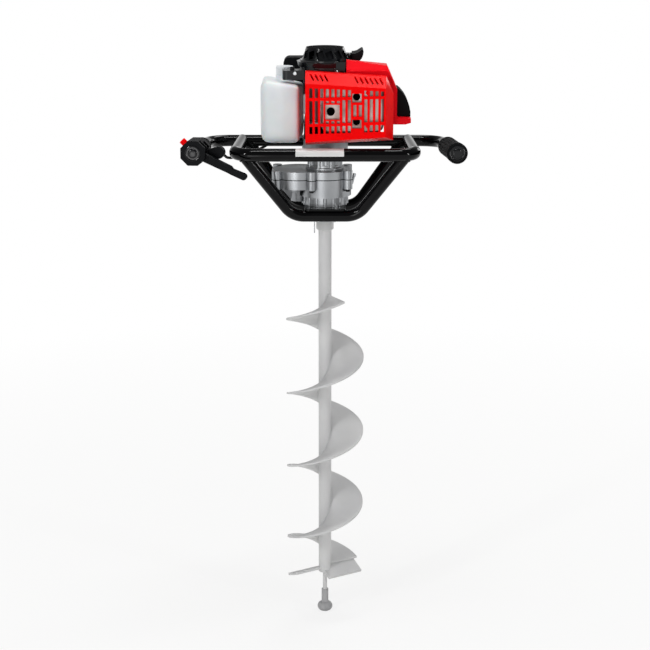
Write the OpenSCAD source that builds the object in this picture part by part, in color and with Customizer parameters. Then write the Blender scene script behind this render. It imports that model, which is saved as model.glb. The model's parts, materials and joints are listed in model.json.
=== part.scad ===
// Petrol earth auger. A tube frame with two hand grips carries a two-stroke engine with
// a centrifugal clutch, a two-stage spur gearbox and a bit with a helical flight.
// Millimetres, +Z up. The origin is on the bit's axis, at the underside of its tip cap.

/* [Bit] */
// Diameter of the hole that the bit cuts
bit_d = 150; // [120:5:200]
// Rise of the flight in one turn
flight_pitch = 150; // [125:5:165]
// Turns of flight, made of one-turn discs
flight_turns = 3.75; // [2.25:0.05:3.9]
// Thickness of the flight plate
flight_t = 4; // [3:0.5:6]
// Outside diameter of the shaft tube
tube_d = 25; // [24:0.5:30]
// Length of the shaft tube
tube_len = 740; // [700:10:900]
// Outside diameter of the socket collar
collar_d = 33; // [32:0.5:40]
// Length of the socket collar
collar_len = 38; // [30:1:60]
// Diameter of the pilot rod
pilot_d = 8.5; // [7:0.5:10]
// Length of the pilot below the shaft tube
pilot_len = 74; // [68:1:90]
// Width of a cutting blade along its slope
blade_chord = 36; // [30:1:42]
// Thickness of a cutting blade
blade_t = 5; // [4:0.5:8]
// Diameter of the pin that holds the bit
drive_pin_d = 8; // [6:0.5:10]
// Diameter of the tip cap's round head
cap_d = 30; // [24:1:36]
// Height of the tip cap
cap_h = 46; // [40:1:50]
// Diameter of the tip cap's neck
cap_neck_d = 13.6; // [12:0.2:16]
// Thickness of the tip cap below the pilot
cap_floor = 12; // [8:1:16]

/* [Gearbox] */
// Gear module of both stages
gear_module = 1.25; // [1.2:0.05:1.3]
// Teeth of the input pinion
pinion_teeth = 12; // [12:2:14]
// Teeth of the large countershaft gear
counter_teeth = 68; // [66:2:70]
// Teeth of the small countershaft pinion
counter_pinion_teeth = 14; // [14:2:16]
// Face width of the first stage
stage1_w = 8; // [6:0.5:9]
// Face width of the second stage
stage2_w = 12; // [9:0.5:14]
// Wall of the gear case
case_wall = 4.5; // [4:0.25:6]
// Height of the fluted base under the gear case
base_h = 17; // [17:0.5:22]
// Height of the output side of the gear case below its joint
out_lobe_h = 34; // [34:0.5:38]
// Height of the countershaft side of the gear case below its joint
in_lobe_h = 18; // [16:0.5:20]
// Height of the gear case lid
lid_h = 15; // [15:0.5:20]
// Diameter of the output shaft
out_shaft_d = 20; // [18:0.5:20]
// Diameter of the screw bosses
boss_d = 17; // [15:0.5:20]

/* [Clutch and engine] */
// Outside diameter of the clutch drum
drum_d = 75; // [72:1:76]
// Wall of the clutch drum
drum_wall = 2.5; // [2:0.25:3]
// Wall of the clutch bell
bell_wall = 4; // [3.5:0.25:6]
// Height of the neck between gear case and clutch bell
neck_h = 27; // [26:0.5:32]
// Diameter of the neck
neck_d = 70; // [62:1:74]
// Height of the clutch bell
bell_h = 34; // [34:0.5:40]
// Height of the fan housing
fan_h = 28; // [28:0.5:34]
// Outside diameter of the flywheel
flywheel_d = 71; // [66:1:71]
// Height of the crankcase
crankcase_h = 68; // [68:0.5:74]
// Diameter of the crankcase
crankcase_d = 76; // [72:1:76]
// Bore of the cylinder
bore_d = 44; // [40:0.5:45]
// Stroke of the piston
stroke = 32; // [28:0.5:32]
// Distance between the eyes of the connecting rod
rod_len = 58; // [56:0.5:60]
// Side of the square cooling fins
fin_w = 76; // [68:1:78]
// Number of cooling fins
fin_count = 8; // [6:1:9]
// Distance between cooling fins
fin_pitch = 6; // [5:0.25:6.5]

/* [Frame] */
// Diameter of the front bar
bar_d = 24; // [22:1:28]
// Diameter of the handlebar
handle_d = 22; // [20:1:24]
// Diameter of the lower bars
v_d = 22; // [20:1:24]
// Height of the top bars over the lower bars
frame_drop = 120; // [112:1:130]
// Distance of the top bars from the bit's axis
frame_y = 85; // [80:1:92]
// Distance of the lower bars from the bit's axis
v_y = 50; // [48:1:54]
// Half width of the front bar
bar_x = 166; // [160:1:176]
// Half width between the upper ends of the lower bars
v_top_x = 150; // [140:1:154]
// Half width between the lower corners of the lower bars
v_low_x = 60; // [54:1:66]
// Half width between the front ends of the handlebar
grip_x = 238; // [230:1:260]
// Half width of the handlebar at its back
handle_x = 221; // [215:1:226]
// Reach of the handlebar in front of the bit's axis
grip_reach = 118; // [112:1:130]
// Rise of the handlebar's front ends
grip_rise = 9; // [0:1:20]
// Bend radius of the handlebar
handle_bend = 45; // [40:1:55]
// Bend radius of the front bar
bar_bend = 32; // [28:1:40]
// Bend radius of the lower bars
v_bend = 40; // [30:1:45]
// Thickness of the plate under the gear case
plate_t = 4; // [3:0.5:6]

/* [Covers and tank] */
// Width of the muffler guard at its face
guard_w = 145; // [135:1:150]
// Height of the muffler guard at its tall end
guard_h = 125; // [115:1:130]
// Height of the plain band under the muffler guard's slots
guard_drop = 8; // [4:1:10]
// Distance of the muffler guard's face from the crank axis
guard_y = 95; // [93:0.5:102]
// Thickness of sheet and moulded walls
skin = 2.5; // [2:0.1:3]
// Columns of slots in the muffler guard
guard_columns = 14; // [10:1:14]
// Width of a slot in the muffler guard
slot_w = 5.6; // [4:0.2:6.5]
// Length of the fuel tank from side to side
tank_w = 78; // [66:1:84]
// Depth of the fuel tank from front to back
tank_depth = 132; // [110:1:134]
// Height of the fuel tank
tank_h = 118; // [108:1:124]
// Step beside the fuel tank's narrower front
tank_step = 7; // [4:0.5:9]
// Corner radius of the fuel tank
tank_r = 17; // [12:0.5:22]
// Diameter of the fuel cap
fuel_cap_d = 32; // [28:1:36]
// Height of the starter's base
starter_base_h = 30; // [30:0.5:36]
// Height of the starter's plain ring
starter_ring_h = 17; // [15:0.5:22]
// Height of the starter's ribbed cone
starter_cone_h = 22; // [20:0.5:28]
// Diameter of the starter's cone at its foot
cone_d = 86; // [82:1:92]
// Diameter of the starter's cone at its top
cone_top_d = 70; // [62:1:74]
// Ribs round the starter's cone
cone_ribs = 14; // [10:1:18]

/* [Controls] */
// Diameter of the hand grips
grip_d = 38; // [34:1:42]
// Length of the right hand grip
grip_len = 108; // [95:1:115]
// Length of the plain band at the right hand grip's end
grip_band = 18; // [14:1:22]
// Corner to corner width of the throttle housing
throttle_d = 48; // [44:1:52]
// Length of the throttle housing along the bar
throttle_len = 60; // [54:1:64]
// Length of the throttle lever from its pin
lever_len = 84; // [70:1:90]
// Slope of the throttle lever below the horizontal
lever_slope = 24; // [15:1:30]
// Diameter of the throttle cable
cable_d = 5; // [4:0.5:6]

/* [Fits] */
// Gap between pieces that move past each other
slack = 0.4; // [0.3:0.05:0.5]
// Radial clearance of a turning shaft
run = 0.05; // [0.03:0.01:0.08]
// Radial clearance of a fixed fit
touch = 0.02; // [0.01:0.01:0.04]

/* [Hidden] */
$fn = 48;

// Levels, from the ground up
tip_z = cap_floor;
tube_z = tip_z + pilot_len;
tube_top = tube_z + tube_len;
collar_z = tube_top - collar_len;
drive_pin_z = tube_top - collar_len * 0.47;
plate_z = tube_top + 9;
v_z = plate_z - v_d / 2;
bar_z = v_z + frame_drop;
case_z = plate_z + plate_t;
lobe_z = case_z + base_h;
split_z = lobe_z + out_lobe_h;
left_z = split_z - in_lobe_h;
case_top = split_z + lid_h;
bell_z = case_top + neck_h;
bell_top = bell_z + bell_h;
crankcase_z = bell_top + fan_h;
crank_z = crankcase_z + crankcase_h / 2;
crankcase_top = crankcase_z + crankcase_h;
ring_z = crankcase_top + starter_base_h;
cone_z = ring_z + starter_ring_h;
starter_top = cone_z + starter_cone_h;

// Gear train
output_teeth = counter_teeth + pinion_teeth - counter_pinion_teeth;
centre = gear_module * (pinion_teeth + counter_teeth) / 2;
pressure_angle = 20;
backlash = 0.12;
cavity_r = gear_module * (max(counter_teeth, output_teeth) / 2 + 0.7) + 1.3;
lobe_r = cavity_r + case_wall;
stage1_z = split_z - 2;
stage2_z = lobe_z + 9;
boss_r = lobe_r + 5;
boss_spots = [for (s = [-1, 1]) each [
    [boss_r * cos(38), s * boss_r * sin(38)],
    [-centre - boss_r * cos(42), s * boss_r * sin(42)],
    [-centre / 2, s * (sqrt(lobe_r * lobe_r - centre * centre / 4) + 6.5)]]];

// Bearings: x, z of the lower face, bore radius, outer radius, width
bearings = [
    [0, case_z + 2.5, out_shaft_d / 2, 20, 8.5],
    [0, case_z + 12, out_shaft_d / 2, 20, 8.5],
    [-centre, lobe_z - 9, 5, 11, 8],
    [-centre, case_top - 6, 5, 8, 4.5],
    [0, case_top + 2, 6, 14, 8],
    [0, bell_z - 8, 6, 14, 8],
    [0, crank_z - 27.5, 7.5, 17.5, 10],
    [0, crank_z + 17.5, 7.5, 17.5, 10]];

// Engine
bell_r = drum_d / 2 + 1.5 + bell_wall;
deck_x = 31;
crown_x = stroke / 2 + rod_len + 16;
head_x = crown_x + 2;
port_x = 57;
stub_y = fin_w / 2 + 8;
fan_r = crankcase_d / 2 + 16;
muffler_y = stub_y + 42;
tank_x = -(crankcase_d / 2 + 2);
tank_y = -(frame_y - bar_d / 2 - 4);
tank_z = bar_z + 17;
filler = [tank_x - 35, 15];
filler_z = tank_z + tank_h;
guard_x0 = -guard_w * 0.245;
guard_z = crank_z + 3.5;
guard_taper = 0.856;
carb_y = fin_w / 2 + 10;
filter_y = carb_y + 36;
rope_y = 27;
rope_z = cone_z + 3;
pulley_r = 31;
eyelet_x = cone_d / 2 + 3;

// Frame
bar_back_x = bar_x - 7;
elbow_dx = v_top_x - (bar_x - bar_bend);
v_top_y = elbow_dx > 0
    ? frame_y - bar_bend + sqrt(bar_bend * bar_bend - elbow_dx * elbow_dx) : frame_y;
lever_z = 4;
lever_w = 14;
paddle_z = 24;
paddle_w = 20;

// One-turn discs of the flight
flight_steps = 40;
flight_start = 30;
flight_low = tube_z - 2;
flight_end = flight_start + 360 * flight_turns;
disc_gap = 0.15;

function unit(v) = v / norm(v);
function polar(r, a) = [r * cos(a), r * sin(a)];
function mix(a, b, t) = a + (b - a) * t;

// Angle by which a path turns at one of its points
function turn(p, i) = acos(unit(p[i] - p[i - 1]) * unit(p[i + 1] - p[i]));

// Ends of the two hand grips' bar, front and back
function grip_front(s) = [s * grip_x, -grip_reach, bar_z + grip_rise];
function grip_back(s) = [s * handle_x, frame_y, bar_z];
function bar_point(s, t) = grip_front(s) + unit(grip_back(s) - grip_front(s)) * t;

// Involute teeth
function inv(a) = tan(a) * 180 / PI - a;
function base_r(z) = gear_module * z / 2 * cos(pressure_angle);
function tooth_half(z, r) = 90 / z - backlash / (gear_module * z) * 90 / PI
    + inv(pressure_angle) - inv(acos(min(1, base_r(z) / r)));
function flank_r(z, add, ded, i) = mix(max(base_r(z), gear_module * (z / 2 - ded) + 0.02),
    gear_module * (z / 2 + add), i / 3);
function tooth(z, add, ded, c) = concat(
    [polar(gear_module * (z / 2 - ded), c - tooth_half(z, flank_r(z, add, ded, 0)))],
    [for (i = [0:3]) polar(flank_r(z, add, ded, i), c - tooth_half(z, flank_r(z, add, ded, i)))],
    [for (i = [3:-1:0]) polar(flank_r(z, add, ded, i), c + tooth_half(z, flank_r(z, add, ded, i)))],
    [polar(gear_module * (z / 2 - ded), c + tooth_half(z, flank_r(z, add, ded, 0)))]);

// Spur gear outline; phase turns it so that it meshes
module gear_outline(z, add, ded, phase) {
    polygon([for (k = [0:z - 1]) for (q = tooth(z, add, ded, k * 360 / z + phase)) q]);
}

module rod(p, q, r) {
    d = q - p;
    translate(p)
        rotate([0, acos(d[2] / norm(d)), atan2(d[1], d[0])])
            cylinder(r = r, h = norm(d));
}

module elbow(p0, p1, p2, r, bend) {
    d = unit(p1 - p0);
    e = unit(p2 - p1);
    t = acos(d * e);
    n = unit(e - d * (d * e));
    c = p1 - d * bend * tan(t / 2) + n * bend;
    w = cross(-n, d);
    multmatrix([[-n[0], d[0], w[0], c[0]], [-n[1], d[1], w[1], c[1]],
        [-n[2], d[2], w[2], c[2]], [0, 0, 0, 1]])
        rotate_extrude(angle = t)
            translate([bend, 0])
                circle(r);
}

// Round bar bent at each inner point of a path; a bend is a little thicker than the straights
// that run into it
module bent_bar(p, r, bend) {
    lap = min(0.6, bend * 0.03);
    grow = min(0.25, r * 0.04);
    for (i = [0:len(p) - 2]) {
        d = unit(p[i + 1] - p[i]);
        a = i == 0 ? 0 : bend * tan(turn(p, i) / 2) - lap;
        b = i == len(p) - 2 ? 0 : bend * tan(turn(p, i + 1) / 2) - lap;
        rod(p[i] + d * a, p[i + 1] - d * b, r);
    }
    for (i = [1:len(p) - 2])
        elbow(p[i - 1], p[i], p[i + 1], r + grow, bend);
}

module round_rect(w, h, r) {
    square([w - 2 * r, h], center = true);
    square([w, h - 2 * r], center = true);
    for (x = [-1, 1], y = [-1, 1])
        translate([x * (w / 2 - r), y * (h / 2 - r)])
            circle(r);
}

module ring(r, bore, h) {
    difference() {
        cylinder(r = r, h = h);
        translate([0, 0, -1])
            cylinder(r = bore, h = h + 2);
    }
}

// Puts a shape on the cylinder's axis, its +Z outward along +X
module on_cylinder(x) {
    translate([x, 0, crank_z])
        rotate([0, 90, 0])
            children();
}

// Puts a shape made in X and height into the upright plane, running back along +Y from y
module upright(y, depth) {
    translate([0, y + depth, 0])
        rotate([90, 0, 0])
            linear_extrude(depth)
                children();
}

// Puts a shape on a hand grip's bar: +Z runs back along the bar, +X is down
module on_grip(s) {
    d = grip_back(s) - grip_front(s);
    translate(grip_front(s))
        rotate([0, acos(d[2] / norm(d)), atan2(d[1], d[0])])
            children();
}

// Frame

module front_bar_solid(gap = 0) {
    bent_bar([[-bar_back_x, frame_y, bar_z], [-bar_x, -frame_y, bar_z],
        [bar_x, -frame_y, bar_z], [bar_back_x, frame_y, bar_z]], bar_d / 2 + gap, bar_bend);
}

module handlebar_solid(gap = 0) {
    bent_bar([grip_front(-1), grip_back(-1), grip_back(1), grip_front(1)],
        handle_d / 2 + gap, handle_bend);
}

module lower_bar_solid(s, top_y) {
    bent_bar([[-v_top_x, s * top_y, bar_z], [-v_low_x, s * v_y, v_z],
        [v_low_x, s * v_y, v_z], [v_top_x, s * top_y, bar_z]], v_d / 2, v_bend);
}

module front_top_bar() {
    color("#141414")
        difference() {
            front_bar_solid();
            handlebar_solid();
        }
}

module front_v_bar() {
    color("#141414")
        difference() {
            lower_bar_solid(-1, v_top_y);
            front_bar_solid();
        }
}

module rear_handlebar() {
    color("#141414")
        handlebar_solid();
}

module rear_v_bar() {
    color("#141414")
        difference() {
            lower_bar_solid(1, frame_y);
            handlebar_solid(max(0.3, (v_d - handle_d) / 2 + 0.3));
            front_bar_solid(0.3);
        }
}

// Plate that ties the lower bars and carries the gear case
module gearbox_plate() {
    color("#1A1A1A")
        difference() {
            translate([0, 0, plate_z])
                linear_extrude(plate_t)
                    round_rect(2 * (v_low_x - v_bend * 0.55), 2 * v_y + v_d, 8);
            translate([0, 0, plate_z - 1])
                cylinder(d = collar_d + 4, h = plate_t + 2);
            for (x = [-1, 1], y = [-1, 1])
                translate([x * 22, y * 22, plate_z - 1])
                    cylinder(r = 3.3, h = plate_t + 2);
        }
}

// Controls

module right_grip() {
    color("#1C1C1C")
        on_grip(1)
            difference() {
                union() {
                    translate([0, 0, -4])
                        cylinder(d = grip_d, h = grip_band);
                    cylinder(d = grip_d - 2, h = grip_len);
                }
                cylinder(d = handle_d + 2 * touch, h = grip_len + 1);
                translate([0, 0, -5])
                    cylinder(r = 9, h = 3, $fn = 6);
                for (k = [0:19])
                    rotate(k * 18)
                        translate([grip_d / 2 - 0.4, 0, grip_band])
                            cylinder(r = 1.8, h = grip_len - grip_band - 8);
            }
}

module left_grip() {
    color("#1C1C1C")
        on_grip(-1)
            difference() {
                translate([0, 0, throttle_len])
                    cylinder(d = grip_d - 4, h = grip_len - throttle_len);
                cylinder(d = handle_d + 2 * touch, h = grip_len + 1);
                for (k = [0:19])
                    rotate(k * 18)
                        translate([grip_d / 2 - 1.4, 0, throttle_len + 4])
                            cylinder(r = 1.8, h = grip_len - throttle_len - 10);
            }
}

lever_pin = [9, -throttle_d * 0.42];
paddle_pin = [2, -throttle_d * 0.46];
button_r = 6;

module throttle_housing() {
    color("#202022")
        on_grip(-1) {
            difference() {
                translate([0, 0, -5])
                    linear_extrude(throttle_len + 5)
                        rotate(22.5)
                            circle(d = throttle_d, $fn = 8);
                cylinder(d = handle_d + 2 * touch, h = throttle_len + 1);
                translate([0, 0, -6])
                    cylinder(r = 8, h = 4, $fn = 6);
                translate([-throttle_d, lever_pin[1] - 30, lever_z - slack])
                    cube([2 * throttle_d, 40, lever_w + 2 * slack]);
                translate([-throttle_d, paddle_pin[1] - 30, paddle_z - slack])
                    cube([2 * throttle_d, 38.5, paddle_w + 2 * slack]);
                rotate([0, 0, 135])
                    translate([handle_d / 2 + 2.5, 0, 12])
                        rotate([0, 90, 0])
                            cylinder(r = button_r + slack, h = throttle_d);
            }
            translate([lever_pin[0], lever_pin[1], lever_z - slack])
                cylinder(r = 2.5, h = lever_w + 2 * slack);
            translate([paddle_pin[0], paddle_pin[1], paddle_z - slack])
                cylinder(r = 2.5, h = paddle_w + 2 * slack);
        }
}

// Lever that opens the throttle when a finger lifts it
module throttle_lever() {
    color("#3A3A3C")
        on_grip(-1)
            translate([lever_pin[0], lever_pin[1], lever_z])
                linear_extrude(lever_w)
                    rotate(lever_slope)
                        difference() {
                            union() {
                                circle(7.5);
                                polygon([[-7.5, 0], [-6, -lever_len * 0.6], [-3, -lever_len * 0.66],
                                    [-4, -lever_len + 6], [8, -lever_len + 6],
                                    [8, -lever_len * 0.66], [7.5, -lever_len * 0.6], [7.5, 0]]);
                                translate([2, -lever_len + 6])
                                    circle(6);
                            }
                            circle(2.5 + run);
                        }
}

// Paddle that frees the throttle lever when it is pressed
module lock_paddle() {
    color("#1E1E20")
        on_grip(-1)
            translate([paddle_pin[0], paddle_pin[1], paddle_z])
                linear_extrude(paddle_w)
                    difference() {
                        union() {
                            circle(5.5);
                            polygon([[-5.5, 0], [-11, -20], [11, -20], [5.5, 0]]);
                            translate([0, -20])
                                circle(11);
                        }
                        circle(2.5 + run);
                    }
}

module stop_button() {
    color("#C4161C")
        on_grip(-1)
            rotate([0, 0, 135])
                translate([handle_d / 2 + 6, 0, 12])
                    rotate([0, 90, 0])
                        cylinder(r = button_r, h = throttle_d / 2 - handle_d / 2 + 1);
}

cable_bend = 12;
cable_path = [
    bar_point(-1, 56) + [throttle_d * 0.4619 + 0.4, 0, -6],
    [bar_point(-1, 56)[0] + throttle_d * 0.4619 + 25, -grip_reach + 56, bar_z - 2],
    [-(bar_x + bar_d / 2 + cable_d / 2 + 1), -frame_y + 60, bar_z - bar_d / 2 - cable_d / 2 - 2],
    [-bar_x + 16, frame_y - 75, bar_z - bar_d / 2 - cable_d / 2 - 2],
    [tank_x - 70, frame_y - 19, bar_z - 6],
    [tank_x - 20, frame_y - 16, bar_z + 32],
    [port_x - 28, carb_y + 17, crank_z - 15]];

module throttle_cable() {
    color("#101010")
        bent_bar(cable_path, cable_d / 2, cable_bend);
}

// Gearbox

module case_outline(r) {
    circle(r);
    translate([-centre, 0])
        circle(r);
    translate([-centre / 2, 0])
        square([centre, 2 * sqrt(r * r - centre * centre / 4)], center = true);
}

module boss_holes(z, h) {
    for (p = boss_spots)
        translate([p[0], p[1], z])
            cylinder(r = 2.7, h = h);
}

module gear_case_lower() {
    color("#B9BCBE")
        difference() {
            union() {
                translate([0, 0, case_z])
                    cylinder(r = lobe_r - 8, h = base_h);
                for (k = [0:15])
                    rotate(k * 22.5)
                        translate([lobe_r - 8.5, 0, case_z])
                            cylinder(r = 3.2, h = base_h);
                translate([0, 0, lobe_z])
                    cylinder(r = lobe_r, h = out_lobe_h);
                translate([0, 0, left_z])
                    linear_extrude(in_lobe_h)
                        case_outline(lobe_r);
                for (p = boss_spots)
                    translate([p[0], p[1], left_z])
                        cylinder(d = boss_d, h = in_lobe_h);
                translate([-centre, 0, lobe_z - 12])
                    cylinder(r = 14.5, h = left_z - lobe_z + 13);
                translate([-centre, 0, left_z - 12])
                    cylinder(r1 = 14.5, r2 = 26, h = 12);
                for (a = [90, 180, 270])
                    translate([-centre, 0, left_z])
                        rotate([90, 0, a])
                            linear_extrude(6, center = true)
                                polygon([[10, 0.5], [lobe_r - 12, 0.5], [14, lobe_z - left_z - 10],
                                    [10, lobe_z - left_z - 10]]);
            }
            translate([0, 0, lobe_z + 6])
                cylinder(r = cavity_r, h = out_lobe_h);
            translate([-centre, 0, stage1_z - 3])
                cylinder(r = cavity_r, h = 20);
            translate([-centre, 0, lobe_z + 1.5])
                cylinder(r = gear_module * (counter_pinion_teeth / 2 + 1) + 1.5, h = out_lobe_h);
            translate([-centre, 0, lobe_z - 9])
                cylinder(r = 11 + touch, h = 8);
            translate([-centre, 0, lobe_z - 2])
                cylinder(r = 8, h = 6);
            translate([0, 0, case_z + 2.5])
                cylinder(r = 20 + touch, h = base_h + 6);
            translate([0, 0, case_z - 1])
                cylinder(r = out_shaft_d / 2 + 2, h = 6);
            boss_holes(left_z - 1, in_lobe_h + 2);
            for (x = [-1, 1], y = [-1, 1])
                translate([x * 22, y * 22, case_z - 1])
                    cylinder(r = 2.6, h = 13);
        }
}

module gear_case_upper() {
    color("#BFC2C4")
        difference() {
            union() {
                translate([0, 0, split_z])
                    linear_extrude(lid_h)
                        case_outline(lobe_r);
                for (p = boss_spots)
                    translate([p[0], p[1], split_z])
                        cylinder(d = boss_d, h = lid_h + 1.5);
            }
            translate([-centre, 0, split_z - 1])
                cylinder(r = cavity_r, h = lid_h - 5);
            translate([0, 0, split_z - 1])
                cylinder(r = 20, h = lid_h - 5);
            translate([0, 0, split_z])
                cylinder(r = 11, h = lid_h + 1);
            translate([-centre, 0, split_z])
                cylinder(r = 8 + touch, h = lid_h - 1.5);
            boss_holes(split_z - 1, lid_h - 2);
        }
}

module socket_screw(r, h, head_r, head_h) {
    difference() {
        union() {
            cylinder(r = r, h = h);
            translate([0, 0, -head_h])
                cylinder(r = head_r, h = head_h);
        }
        translate([0, 0, -head_h - 1])
            cylinder(r = head_r * 0.55, h = head_h * 0.6 + 1, $fn = 6);
    }
}

// Screws of the gear case, its plate and the starter
module socket_screws() {
    color("#1B1B1B") {
        for (p = boss_spots)
            translate([p[0], p[1], left_z])
                socket_screw(2.5, in_lobe_h + lid_h - 5, 4.25, 5);
        for (x = [-1, 1], y = [-1, 1])
            translate([x * 22, y * 22, plate_z])
                socket_screw(2.5, plate_t + 10, 4.25, 5);
        for (p = starter_screw_spots)
            translate([p[0], p[1], p[2]])
                rotate([180, 0, 0])
                    socket_screw(2.5, p[3], 4.25, 5);
    }
}

module ball_bearings() {
    color("#9FA3A6")
        for (b = bearings)
            translate([b[0], 0, b[1]])
                difference() {
                    ring(b[3], b[2] + run, b[4]);
                    for (z = [-1, b[4] - 0.6])
                        translate([0, 0, z])
                            ring(b[3] - 1.2, b[2] + 1.2, 1.6);
                }
}

module breather() {
    y = -lobe_r * sin(18);
    color("#D4D6D8")
        difference() {
            union() {
                bent_bar([[lobe_r * cos(18) - 1, y, left_z + 5], [lobe_r + 1.5, y, left_z + 7],
                    [lobe_r + 5.5, y, split_z + 4]], 2.2, 3);
                rod([lobe_r + 5, y, split_z + 1.5], [lobe_r + 6.4, y, split_z + 8], 2.9);
            }
            translate([0, 0, lobe_z])
                cylinder(r = lobe_r + 0.1, h = case_top - lobe_z + 1);
        }
}

// Clutch

module clutch_housing() {
    color("#B4B7BA")
        difference() {
            union() {
                translate([0, 0, case_top])
                    cylinder(r = neck_d / 2 + 1, h = 5);
                translate([0, 0, case_top])
                    cylinder(r = neck_d / 2 - 3, h = neck_h);
                for (k = [0:7])
                    rotate(k * 45 + 22.5)
                        translate([neck_d / 2 - 5, 0, case_top])
                            cylinder(r = 5, h = neck_h);
                translate([0, 0, bell_z - 5])
                    cylinder(r1 = neck_d / 2 - 3, r2 = bell_r, h = 5);
                translate([0, 0, bell_z])
                    cylinder(r = bell_r, h = bell_h);
                translate([0, 0, bell_top - 4])
                    cylinder(r = bell_r + 3, h = 4);
            }
            translate([0, 0, case_top - 1])
                cylinder(r = 14 + touch, h = neck_h + 2);
            translate([0, 0, bell_z + 1])
                cylinder(r = drum_d / 2 + 1.5, h = bell_h);
            for (k = [0:7])
                rotate(k * 45)
                    translate([neck_d / 2 + 3, 0, case_top + 9])
                        cylinder(r = 8, h = neck_h - 17);
            translate([tank_x - 60.5, -60, bell_z + 15])
                cube([60, 120, bell_h]);
        }
}

module clutch_drum() {
    color("#8C8F92")
        translate([0, 0, bell_z + 5])
            difference() {
                union() {
                    cylinder(d = drum_d, h = 21);
                    translate([0, 0, -3.5])
                        cylinder(r = 9, h = 12);
                }
                translate([0, 0, 3])
                    ring(drum_d / 2 - drum_wall, 9, 30);
                translate([0, 0, -5])
                    cylinder(r = 6 + touch, h = 40);
                for (k = [0:5])
                    rotate(k * 60)
                        translate([20, 0, -1])
                            cylinder(r = 4, h = 6);
            }
}

module pinion_shaft() {
    color("#A6A9AC") {
        translate([0, 0, stage1_z - 1.5])
            cylinder(r = 6 - run, h = bell_z + 13 - stage1_z);
        translate([0, 0, stage1_z - 1])
            linear_extrude(stage1_w + 2)
                gear_outline(pinion_teeth, 1, 1, 0);
    }
}

module counter_gear() {
    color("#A6A9AC")
        translate([-centre, 0, stage1_z])
            linear_extrude(stage1_w)
                difference() {
                    gear_outline(counter_teeth, 0.7, 1.25, 180 / counter_teeth);
                    circle(7 + touch);
                    for (k = [0:5])
                        rotate(k * 60)
                            translate([24, 0])
                                circle(7);
                }
}

module counter_shaft() {
    color("#9C9FA2")
        translate([-centre, 0, 0]) {
            translate([0, 0, lobe_z - 8.5])
                cylinder(r = 5 - run, h = case_top - lobe_z + 6.5);
            translate([0, 0, lobe_z])
                cylinder(r = 7, h = case_top - lobe_z - 6.6);
            translate([0, 0, stage2_z - 1])
                linear_extrude(stage2_w + 2)
                    gear_outline(counter_pinion_teeth, 1, 1, 0);
        }
}

module output_gear() {
    color("#A6A9AC")
        translate([0, 0, stage2_z])
            linear_extrude(stage2_w)
                difference() {
                    gear_outline(output_teeth, 0.7, 1.25, 180 / output_teeth);
                    circle(9 + touch);
                    for (k = [0:5])
                        rotate(k * 60)
                            translate([24, 0])
                                circle(7);
                }
}

module output_shaft() {
    color("#9C9FA2")
        difference() {
            union() {
                translate([0, 0, drive_pin_z - 42])
                    cylinder(d = out_shaft_d - 2 * run, h = stage2_z - drive_pin_z + 42);
                translate([0, 0, stage2_z - 2])
                    cylinder(r = 13, h = 2);
                translate([0, 0, stage2_z])
                    cylinder(r = 9, h = stage2_w + 3);
                translate([0, 0, stage2_z + stage2_w])
                    cylinder(r = 12, h = 2.5);
            }
            rod([-20, 0, drive_pin_z], [20, 0, drive_pin_z], drive_pin_d / 2 + touch);
        }
}

// Engine

module fan_housing() {
    color("#26282A")
        difference() {
            intersection() {
                translate([0, 0, bell_top])
                    cylinder(r = fan_r, h = fan_h);
                translate([-crankcase_d / 2 - 1, 0.5 - stub_y, bell_top - 1])
                    cube([200, 200, fan_h + 2]);
            }
            translate([0, 0, bell_top + 2.5])
                intersection() {
                    cylinder(r = fan_r - 3.5, h = fan_h);
                    translate([-crankcase_d / 2 + 1.5, 3 - stub_y, -1])
                        cube([200, 200, fan_h + 2]);
                }
            translate([0, 0, bell_top - 1])
                cylinder(r = drum_d / 2 + 1.5, h = 6);
            translate([30, -34, bell_top + 2.5])
                cube([60, 68, fan_h]);
        }
}

module crankcase() {
    color("#B2B5B8")
        difference() {
            union() {
                translate([0, 0, crankcase_z])
                    cylinder(d = crankcase_d, h = crankcase_h);
                translate([0, 0, crankcase_z])
                    cylinder(r = fan_r - 2, h = 4);
                translate([0, -33, crank_z - 33])
                    cube([deck_x, 66, 66]);
                translate([tank_x, -20, crank_z - 18])
                    cube([-tank_x - 20, 40, 36]);
            }
            translate([-150 + tank_x + 1, -100, crankcase_z - 1])
                cube([150, 200, 8]);
            translate([-100, -100.5 - stub_y + 1, crankcase_z - 1])
                cube([200, 100, 8]);
            translate([0, 0, crank_z - 17.5])
                cylinder(r = 29.5, h = 35);
            for (z = [crank_z - 27.5, crank_z + 17.4])
                translate([0, 0, z])
                    cylinder(r = 17.5 + touch, h = 10.1);
            translate([0, 0, crankcase_z - 1])
                cylinder(r = 10, h = crankcase_h + 2);
            on_cylinder(15)
                cylinder(d = bore_d + 4, h = deck_x);
            translate([deck_x, -fin_w / 2 - 0.5, crankcase_z - 1])
                cube([60, fin_w + 1, crankcase_h + 2]);
        }
}

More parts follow.
